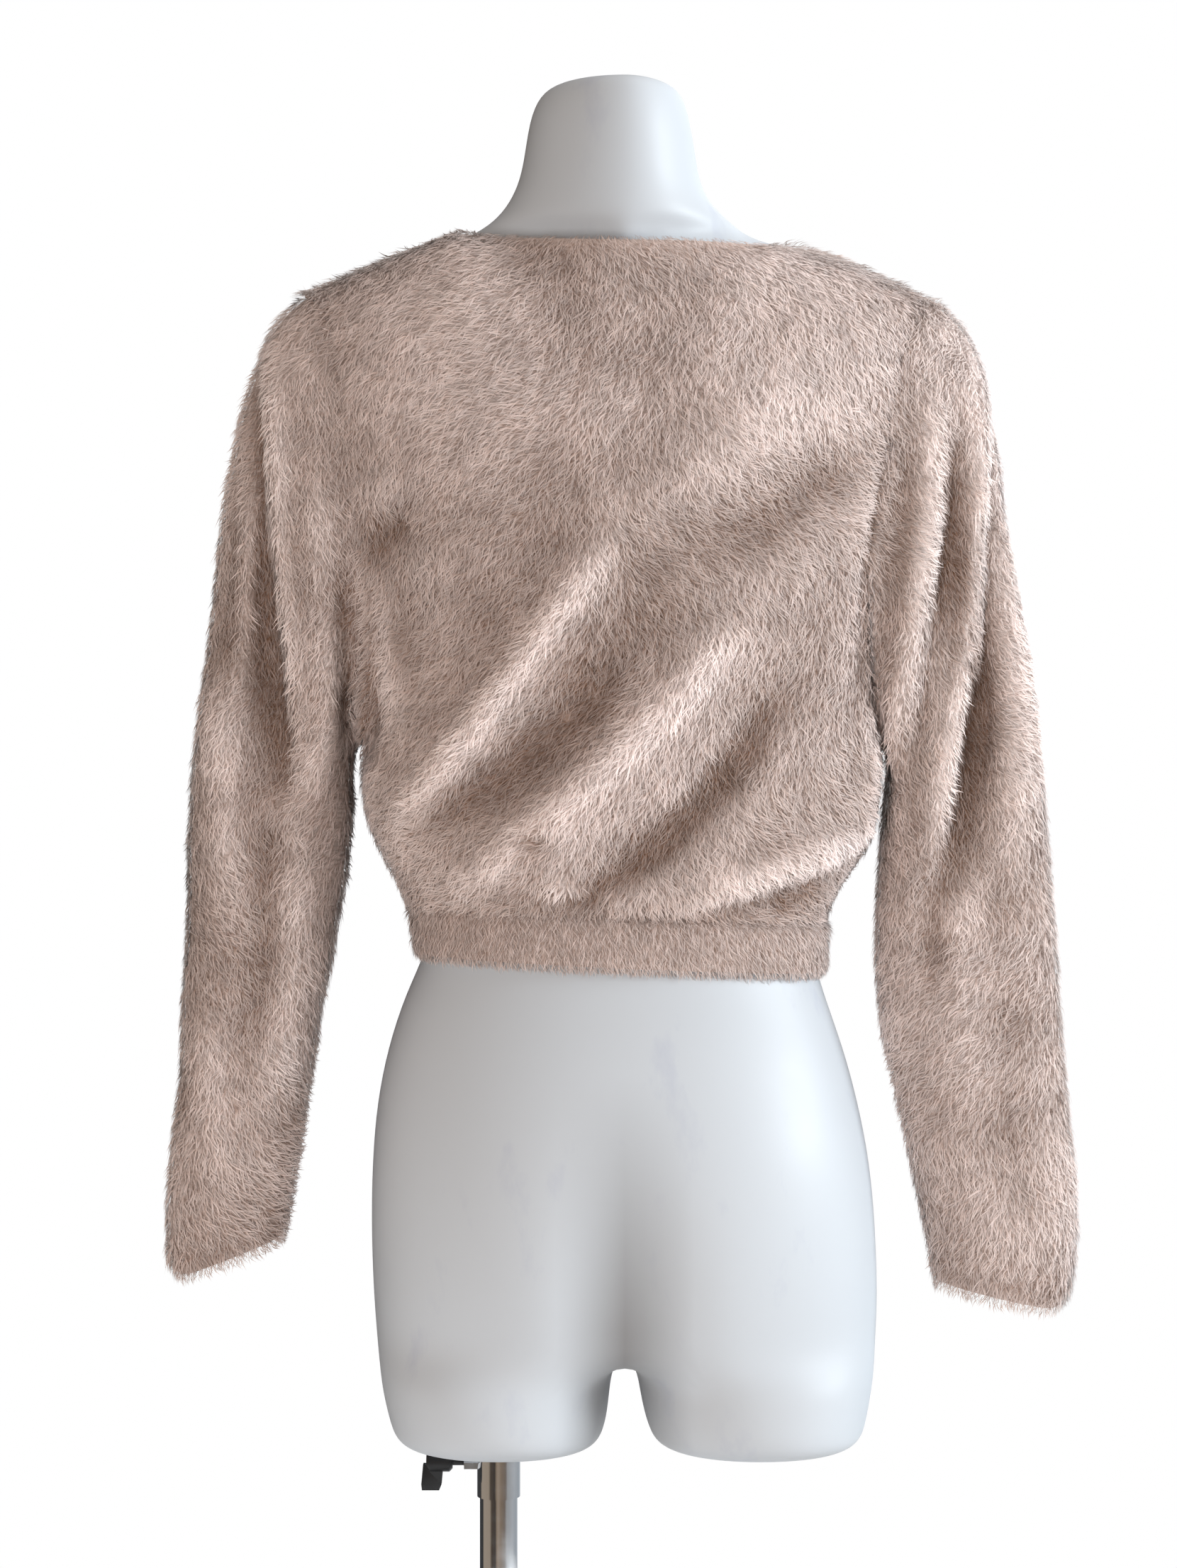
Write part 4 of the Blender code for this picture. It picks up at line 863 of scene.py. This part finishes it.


# The yarn's colour is shared by the pile, the knitted ground under it and the ribs: darker at
# the root and paler at the tip, with soft patches, and with painted shade in creases and a
# painted highlight on folds.
fibre_look, look_in, look_out = group_of(
    "yarn_colour",
    [("Root", "NodeSocketColor", (0.2, 0.15, 0.12, 1)),
     ("Tip", "NodeSocketColor", (0.6, 0.5, 0.45, 1)), ("Spread", "NodeSocketFloat", 0.3),
     ("Along", "NodeSocketFloat", 0.5), ("Tone", "NodeSocketFloat", 0.5)],
    [("Color", "NodeSocketColor")])
look_where = fibre_look.nodes.new("ShaderNodeTexCoord")
patches = fibre_look.nodes.new("ShaderNodeTexNoise")
patches.inputs["Scale"].default_value = 48.0
patches.inputs["Detail"].default_value = 4.0
patch_range = fibre_look.nodes.new("ShaderNodeMapRange")
patch_range.inputs["From Min"].default_value = 0.3
patch_range.inputs["From Max"].default_value = 0.7
patch_range.inputs["To Min"].default_value = 0.91
patch_range.inputs["To Max"].default_value = 1.09
root_to_tip = fibre_look.nodes.new("ShaderNodeMix")
root_to_tip.data_type = "RGBA"
# Painted shade and highlight: in a crease the yarn turns towards its root colour and darker, on
# a fold towards its tip colour and paler.
fold_read = fibre_look.nodes.new("ShaderNodeAttribute")
fold_read.attribute_name = "fold"
fold_painted_light = fibre_look.nodes.new("ShaderNodeMath")
fold_painted_light.operation = "MULTIPLY_ADD"
fold_painted_light.inputs[1].default_value = 0.28
fold_painted_light.use_clamp = True
shaded = fibre_look.nodes.new("ShaderNodeMath")
shaded.operation = "MULTIPLY_ADD"
shaded.inputs[1].default_value = 0.22
tone_less = fibre_look.nodes.new("ShaderNodeMath")
tone_less.operation = "SUBTRACT"
tone_less.inputs[1].default_value = 0.5
tone_part = fibre_look.nodes.new("ShaderNodeMath")
tone_part.operation = "MULTIPLY_ADD"
tone_part.inputs[2].default_value = 1.0
tone_all = fibre_look.nodes.new("ShaderNodeMath")
tone_all.operation = "MULTIPLY"
scaled = fibre_look.nodes.new("ShaderNodeVectorMath")
scaled.operation = "SCALE"
for out, into in (
        (look_where.outputs["Object"], patches.inputs["Vector"]),
        (patches.outputs["Fac"], patch_range.inputs["Value"]),
        (fold_read.outputs["Fac"], fold_painted_light.inputs[0]),
        (look_in.outputs["Along"], fold_painted_light.inputs[2]),
        (fold_painted_light.outputs["Value"], root_to_tip.inputs["Factor"]),
        (fold_read.outputs["Fac"], shaded.inputs[0]),
        (patch_range.outputs["Result"], shaded.inputs[2]),
        (look_in.outputs["Root"], root_to_tip.inputs["A"]),
        (look_in.outputs["Tip"], root_to_tip.inputs["B"]),
        (look_in.outputs["Tone"], tone_less.inputs[0]),
        (tone_less.outputs["Value"], tone_part.inputs[0]),
        (look_in.outputs["Spread"], tone_part.inputs[1]),
        (tone_part.outputs["Value"], tone_all.inputs[0]),
        (shaded.outputs["Value"], tone_all.inputs[1]),
        (root_to_tip.outputs["Result"], scaled.inputs["Vector"]),
        (tone_all.outputs["Value"], scaled.inputs["Scale"]),
        (scaled.outputs["Vector"], look_out.inputs["Color"])):
    fibre_look.links.new(out, into)


def in_yarn_colour(material, shader, spread):
    """Gives a material the yarn's colour, and returns the group that holds it."""
    look = material.node_tree.nodes.new("ShaderNodeGroup")
    look.node_tree = fibre_look
    look.inputs["Root"].default_value = (0.30, 0.16, 0.095, 1)
    look.inputs["Tip"].default_value = (0.80, 0.70, 0.662, 1)
    look.inputs["Along"].default_value = 0.5
    look.inputs["Spread"].default_value = spread
    link(material, look.outputs["Color"], shader.inputs["Base Color"])
    return look


# The brushed fibres: mostly shaded as the cloth they stand on, and partly lit through.
brushed_yarn, yarn_shader = shade("brushed_yarn", 0.85)
yarn_shader.inputs["Sheen Weight"].default_value = 0.85
yarn_shader.inputs["Sheen Roughness"].default_value = 0.35
yarn_shader.inputs["Specular IOR Level"].default_value = 0.25
yarn_look = in_yarn_colour(brushed_yarn, yarn_shader, 0.5)
along_fibre = node(brushed_yarn, "ShaderNodeAttribute")
along_fibre.attribute_name = "tip"
tuft_tone = node(brushed_yarn, "ShaderNodeAttribute")
tuft_tone.attribute_name = "tone"
cloth_faces = node(brushed_yarn, "ShaderNodeAttribute")
cloth_faces.attribute_name = "cloth_normal"
own_faces = node(brushed_yarn, "ShaderNodeNewGeometry")
mostly_cloth = brushed_yarn.node_tree.nodes.new("ShaderNodeMix")
mostly_cloth.data_type = "VECTOR"
mostly_cloth.inputs["Factor"].default_value = 0.72
straight = node(brushed_yarn, "ShaderNodeVectorMath")
straight.operation = "NORMALIZE"
lit_through = node(brushed_yarn, "ShaderNodeBsdfTranslucent")
partly_through = brushed_yarn.node_tree.nodes.new("ShaderNodeMixShader")
partly_through.inputs["Fac"].default_value = 0.30
yarn_out = brushed_yarn.node_tree.nodes["Material Output"]
for out, into in (
        (along_fibre.outputs["Fac"], yarn_look.inputs["Along"]),
        (tuft_tone.outputs["Fac"], yarn_look.inputs["Tone"]),
        (own_faces.outputs["Normal"], mostly_cloth.inputs["A"]),
        (cloth_faces.outputs["Vector"], mostly_cloth.inputs["B"]),
        (mostly_cloth.outputs["Result"], straight.inputs[0]),
        (straight.outputs["Vector"], yarn_shader.inputs["Normal"]),
        (yarn_look.outputs["Color"], lit_through.inputs["Color"]),
        (yarn_shader.outputs["BSDF"], partly_through.inputs[1]),
        (lit_through.outputs["BSDF"], partly_through.inputs[2]),
        (partly_through.outputs["Shader"], yarn_out.inputs["Surface"])):
    link(brushed_yarn, out, into)

# The knitted ground under the pile, in fine courses.
ground_knit, ground_shader = shade("ground_knit", 0.9)
ground_look = in_yarn_colour(ground_knit, ground_shader, 0.12)
ground_where = node(ground_knit, "ShaderNodeTexCoord")
stitches = node(ground_knit, "ShaderNodeTexWave", scale=105.0, distortion=1.5)
stitches.bands_direction = "Z"
stitch_bump = node(ground_knit, "ShaderNodeBump", strength=0.5, distance=0.0008)
link(ground_knit, ground_where.outputs["Object"], stitches.inputs["Vector"])
link(ground_knit, stitches.outputs["Fac"], ground_look.inputs["Tone"])
link(ground_knit, stitches.outputs["Fac"], stitch_bump.inputs["Height"])
link(ground_knit, stitch_bump.outputs["Normal"], ground_shader.inputs["Normal"])


def knit_piece(node_name, sheet_mesh, piles):
    """The panel's knitted ground with its pile, as pieces on the dressed form."""
    walled = finished(node_name, with_rim(sheet_mesh, 0), [
        ("SOLIDIFY", {"thickness": KNIT_THICKNESS, "offset": -1})])
    smooth(walled, 60)
    ground = add_piece(node_name + "_knit", walled, ground_knit, "dressed_form")
    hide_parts(node_name)
    coats = [add_piece(mesh.name, mesh, brushed_yarn, "dressed_form")
             for mesh in piles]


PILE_LEVELS = 2
GROUND_LEVELS = 1
GROUND_SUNK = 0.0007
BACK_TUFTS = 720000
BACK_LEAN = 2.2
BACK_SPLIT = 0.955
BACK_HALVES = (("lower", 0.0, BACK_SPLIT, 11), ("upper", BACK_SPLIT, 2.0, 12))
BACK_CREASES = (
    Crease(0.138, 0.823, 0.062, 0.919, 0.009, 0.995, 0.0085, 0.0045),
    Crease(0.124, 0.813, 0.066, 0.859, 0.006, 0.905, 0.0090, -0.0055),
    Crease(0.078, 0.800, -0.013, 0.876, -0.063, 0.933, 0.0105, 0.0050),
    Crease(0.044, 0.758, -0.038, 0.823, -0.099, 0.903, 0.0100, -0.0065),
    Crease(-0.030, 0.765, -0.095, 0.789, -0.158, 0.811, 0.0095, 0.0055),
    Crease(-0.090, 0.765, -0.110, 0.772, -0.130, 0.782, 0.0080, -0.0040),
    Crease(0.056, 0.812, 0.056, 0.806, 0.056, 0.800, 0.0100, -0.0045),
    Crease(0.040, 0.780, 0.040, 0.776, 0.040, 0.772, 0.0100, 0.0035),
    Crease(0.110, 0.775, 0.090, 0.785, 0.070, 0.800, 0.0120, 0.0035),
    Crease(-0.194, 1.085, -0.179, 0.950, -0.160, 0.815, 0.0095, 0.0095),
    Crease(-0.168, 1.050, -0.158, 0.950, -0.144, 0.850, 0.0110, -0.0050),
    Crease(0.168, 0.985, 0.152, 1.000, 0.134, 1.018, 0.0140, -0.0055),
    Crease(0.184, 1.000, 0.174, 0.930, 0.170, 0.870, 0.0130, -0.0130),
    Crease(0.150, 0.970, 0.148, 0.930, 0.146, 0.880, 0.0110, 0.0040),
    Crease(-0.060, 0.985, -0.105, 1.020, -0.155, 1.060, 0.0200, -0.0045),
    Crease(-0.020, 1.020, -0.070, 1.060, -0.120, 1.110, 0.0220, 0.0035),
)

back_sheet = knit_sheet("back", PILE_LEVELS, BACK_CREASES, 1)
back_piles = [
    brushed_pile(f"back_pile_{half}", back_sheet, BACK_TUFTS, seed, lowest=lowest,
                 highest=highest, lean=BACK_LEAN)
    for half, lowest, highest, seed in BACK_HALVES]
back_ground = knit_sheet("back", GROUND_LEVELS, BACK_CREASES, 1, GROUND_SUNK)
knit_piece("back", back_ground, back_piles)

# Sleeves
# Long straight sleeves set into the armholes. Empty, they hang flat at the sides, with the
# deep creases that the weight of the cloth makes, and the soft cuffs are rounded at the corner.

SLEEVE_CREASES = {
    "left": (
        Crease(0.2290, 1.115, 0.2220, 1.000, 0.2100, 0.884, 0.0095, 0.0090),
        Crease(0.2390, 1.110, 0.2310, 0.985, 0.2180, 0.839, 0.0110, -0.0155),
        Crease(0.2620, 1.070, 0.2590, 0.985, 0.2520, 0.900, 0.0180, -0.0080),
        Crease(0.2600, 0.900, 0.2540, 0.840, 0.2520, 0.760, 0.0160, 0.0060),
        Crease(0.1960, 1.020, 0.1830, 0.915, 0.1960, 0.847, 0.0105, 0.0075),
        Crease(0.1860, 0.990, 0.1760, 0.925, 0.1750, 0.870, 0.0120, -0.0120),
        Crease(0.2300, 0.830, 0.2280, 0.750, 0.2360, 0.670, 0.0150, -0.0055),
        Crease(0.2060, 0.800, 0.2120, 0.720, 0.2250, 0.640, 0.0150, 0.0040),
        Crease(0.2700, 0.700, 0.2620, 0.640, 0.2600, 0.580, 0.0140, 0.0035),
    ),
    "right": (
        Crease(-0.1960, 1.076, -0.1820, 0.945, -0.1600, 0.810, 0.0100, 0.0085),
        Crease(-0.2120, 1.060, -0.2020, 0.960, -0.1800, 0.840, 0.0080, -0.0055),
        Crease(-0.2320, 1.120, -0.2200, 0.960, -0.1970, 0.790, 0.0095, 0.0105),
        Crease(-0.2450, 1.100, -0.2370, 0.960, -0.2100, 0.780, 0.0120, -0.0150),
        Crease(-0.1980, 0.820, -0.1990, 0.770, -0.2010, 0.715, 0.0120, -0.0050),
        Crease(-0.2620, 1.000, -0.2620, 0.900, -0.2500, 0.790, 0.0160, 0.0040),
        Crease(-0.2200, 0.790, -0.2240, 0.720, -0.2350, 0.640, 0.0180, 0.0030),
        Crease(-0.2560, 0.720, -0.2500, 0.650, -0.2560, 0.580, 0.0200, -0.0022),
    ),
}

CORNER_REACH = 0.020
CORNER_DRAWN = 0.35
CORNER_INWARD = 0.35
CORNER_UP = 0.94
CORNER_NUDGE = 0.002
SLEEVE_TUFTS = 550000


def sleeve_sheet(name, levels, creases, sunk=0.0):
    """A sleeve's outer side, with the lowest corner of the soft cuff rounded off."""
    sheet = knit_sheet(name, levels, creases, 1, sunk)
    corner = min((vertex.co for vertex in sheet.vertices), key=lambda place: place.z).copy()
    inward = Vector((math.copysign(CORNER_INWARD, -corner.x), 0, CORNER_UP)) * CORNER_NUDGE
    for vertex in sheet.vertices:
        away = vertex.co - corner
        away.y = 0
        if away.length < CORNER_REACH:
            way = (away + inward).normalized()
            vertex.co += way * CORNER_DRAWN * (CORNER_REACH - away.length)
    sheet.update()
    return sheet


for side, seed in (("left", 21), ("right", 31)):
    name = "sleeve_" + side
    creases = SLEEVE_CREASES[side]
    sleeve_pile = brushed_pile(name + "_pile", sleeve_sheet(name, PILE_LEVELS, creases),
                               SLEEVE_TUFTS, seed)
    knit_piece(name, sleeve_sheet(name, GROUND_LEVELS, creases, GROUND_SUNK), [sleeve_pile])

# Fronts
# Two narrow panels with a deep V neckline, in the same brushed knit as the back. The pile is
# short at the tips of the shoulders, so that none of it stands up behind them.

FRONT_TUFTS = 440000
FRONT_LEAN = 1.5
TIP_REACH = 0.060
FRONT_CREASES = {
    "left": (
        Crease(0.130, 0.800, 0.085, 0.880, 0.050, 0.960, 0.0110, 0.0040),
        Crease(0.105, 0.790, 0.065, 0.840, 0.040, 0.890, 0.0110, -0.0040),
    ),
    "right": (
        Crease(-0.125, 0.795, -0.085, 0.870, -0.055, 0.940, 0.0110, 0.0040),
        Crease(-0.140, 0.900, -0.115, 0.960, -0.100, 1.020, 0.0110, -0.0040),
    ),
}

for side, seed in (("left", 41), ("right", 51)):
    name = "front_" + side
    creases = FRONT_CREASES[side]
    front_pile = brushed_pile(name + "_pile", knit_sheet(name, PILE_LEVELS, creases, -1),
                              FRONT_TUFTS, seed, lean=FRONT_LEAN, tip_reach=TIP_REACH)
    knit_piece(name, knit_sheet(name, GROUND_LEVELS, creases, -1, GROUND_SUNK), [front_pile])

# Ribbed hem
# A narrow band of ribs, knitted on below the body in three parts. It draws the hem in, and
# short brushed fibres half hide the ribs.

rib_knit, rib_shader = shade("rib_knit", 0.9)
rib_look = in_yarn_colour(rib_knit, rib_shader, 0.3)
rib_where = node(rib_knit, "ShaderNodeTexCoord")
rib_fuzz = node(rib_knit, "ShaderNodeTexNoise", scale=900.0, detail=4.0)
rib_bump = node(rib_knit, "ShaderNodeBump", strength=0.6, distance=0.0006)
link(rib_knit, rib_where.outputs["Object"], rib_fuzz.inputs["Vector"])
link(rib_knit, rib_fuzz.outputs["Fac"], rib_look.inputs["Tone"])
link(rib_knit, rib_fuzz.outputs["Fac"], rib_bump.inputs["Height"])
link(rib_knit, rib_bump.outputs["Normal"], rib_shader.inputs["Normal"])

RIB_SMOOTHED = {"levels": 1, "render_levels": 1}
RIB_PILE_LENGTH = 0.0088
RIB_PILE_DISORDER = 0.6
RIB_PILE_SWIRL = 0.35
RIB_OUTER_SIDE = 0.25


def ribbed_piece(name, per_metre, seed):
    """A ribbed CAD node with its ribs rounded and a short pile on its outer side."""
    ribbed = finished(name, merged_copy(name), [("SUBSURF", RIB_SMOOTHED)])
    smooth(ribbed, 70)
    outside = bmesh.new()
    outside.from_mesh(ribbed)
    inner = [face for face in outside.faces
             if face.normal.xy.dot(face.calc_center_median().xy.normalized()) < RIB_OUTER_SIDE]
    bmesh.ops.delete(outside, geom=inner, context="FACES")
    carrier = bpy.data.meshes.new(name)
    outside.to_mesh(carrier)
    outside.free()
    pile = brushed_pile(name + "_pile", carrier, per_metre, seed, RIB_PILE_LENGTH,
                        RIB_PILE_DISORDER, swirl=RIB_PILE_SWIRL)
    knit = add_piece(name + "_knit", ribbed, rib_knit, "dressed_form")
    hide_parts(name)
    coat = add_piece(pile.name, pile, brushed_yarn, "dressed_form")


ribbed_piece("hem_rib_back", per_metre=750000, seed=61)
ribbed_piece("hem_rib_left", per_metre=600000, seed=62)
ribbed_piece("hem_rib_right", per_metre=600000, seed=63)

# Button bands
# Two narrow bands, which run from the hem up the fronts' edges and round the neckline's V.
# The band with the buttonholes lies on top.

ribbed_piece("band_under", per_metre=300000, seed=71)
ribbed_piece("band_over", per_metre=300000, seed=72)

# Buttons
# Five small round buttons in the yarn's colour, each with a raised rim and four holes, sewn
# on with a crossed thread.

button_plastic, button_shader = shade("button_plastic", 0.3)
button_shader.inputs["Coat Weight"].default_value = 0.2
button_where = node(button_plastic, "ShaderNodeTexCoord")
marbling = node(button_plastic, "ShaderNodeTexNoise", scale=160.0, detail=3.0)
marbled = button_plastic.node_tree.nodes.new("ShaderNodeMix")
marbled.data_type = "RGBA"
marbled.inputs["A"].default_value = (0.34, 0.24, 0.19, 1)
marbled.inputs["B"].default_value = (0.50, 0.38, 0.32, 1)
link(button_plastic, button_where.outputs["Object"], marbling.inputs["Vector"])
link(button_plastic, marbling.outputs["Fac"], marbled.inputs["Factor"])
link(button_plastic, marbled.outputs["Result"], button_shader.inputs["Base Color"])

thread, thread_shader = shade("sewing_thread", 0.7)
thread_where = node(thread, "ShaderNodeTexCoord")
thread_twist = node(thread, "ShaderNodeTexWave", scale=700.0)
thread_tone = thread.node_tree.nodes.new("ShaderNodeMix")
thread_tone.data_type = "RGBA"
thread_tone.inputs["A"].default_value = (0.36, 0.27, 0.22, 1)
thread_tone.inputs["B"].default_value = (0.52, 0.41, 0.35, 1)
link(thread, thread_where.outputs["Object"], thread_twist.inputs["Vector"])
link(thread, thread_twist.outputs["Fac"], thread_tone.inputs["Factor"])
link(thread, thread_tone.outputs["Result"], thread_shader.inputs["Base Color"])

HOLE_OFFSET = 0.0017
HOLE_RADIUS = 0.0008
THREAD_RADIUS = 0.0005
BUTTONS = 5


def button_frame(name):
    """A matrix from a button's own axes, with Z out of its face, to its place, and its size."""
    corners = np.array([tuple(vertex.co) for vertex in merged_copy(name).vertices])
    centre = corners.mean(axis=0)
    spread = np.linalg.svd(corners - centre)[2]
    out = Vector(spread[2])
    if out.y > 0:
        out = -out
    thick = np.ptp((corners - centre) @ np.array(out))
    radius = np.abs((corners - centre) @ spread[0]).max()
    turn = out.to_track_quat("Z", "Y").to_matrix().to_4x4()
    return Matrix.Translation(centre) @ turn, radius, thick


for number in range(1, BUTTONS + 1):
    name = f"button_{number}"
    place, radius, thick = button_frame(name)
    half = thick / 2
    profile = [(0, -half), (radius * 0.86, -half), (radius, -half * 0.3),
               (radius, half * 0.4), (radius * 0.93, half), (radius * 0.80, half * 0.85),
               (radius * 0.70, half * 0.2), (0, half * 0.1)]
    disc_mesh = turned(name, profile, (0, 0, 0), 40)
    worker = bpy.data.objects.new(name, disc_mesh)
    bpy.context.scene.collection.objects.link(worker)
    drills = []
    for turn in range(4):
        angle = math.tau * (turn + 0.5) / 4
        at = (HOLE_OFFSET * math.cos(angle), HOLE_OFFSET * math.sin(angle), 0)
        drill = bpy.data.objects.new("drill", turned(
            "drill", [(0, -thick), (HOLE_RADIUS, -thick), (HOLE_RADIUS, thick), (0, thick)],
            at, 12))
        bpy.context.scene.collection.objects.link(drill)
        cut = worker.modifiers.new("hole", "BOOLEAN")
        cut.object = drill
        cut.solver = "EXACT"
        drills.append(drill)
    graph = bpy.context.evaluated_depsgraph_get()
    holed = bpy.data.meshes.new_from_object(worker.evaluated_get(graph))
    for helper in [worker, *drills]:
        bpy.data.objects.remove(helper)
    holed.transform(place)
    smooth(holed, 35)
    button = add_piece(f"button_{number}_moulding", holed, button_plastic,
                       "dressed_form")
    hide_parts(name)
    crossed = bmesh.new()
    for turn in (1, 3):
        bar = bmesh.ops.create_cone(crossed, cap_ends=True, segments=8, radius1=THREAD_RADIUS,
                                    radius2=THREAD_RADIUS, depth=2 * HOLE_OFFSET)["verts"]
        lay = (Matrix.Translation((0, 0, half * 0.1 + THREAD_RADIUS * 0.7))
               @ Matrix.Rotation(math.tau * turn / 8, 4, "Z")
               @ Matrix.Rotation(math.pi / 2, 4, "Y"))
        bmesh.ops.transform(crossed, matrix=lay, verts=bar)
    thread_mesh = bpy.data.meshes.new("thread")
    crossed.to_mesh(thread_mesh)
    crossed.free()
    thread_mesh.transform(place)
    smooth(thread_mesh, 60)
    add_piece(f"button_{number}_thread", thread_mesh, thread, "dressed_form")
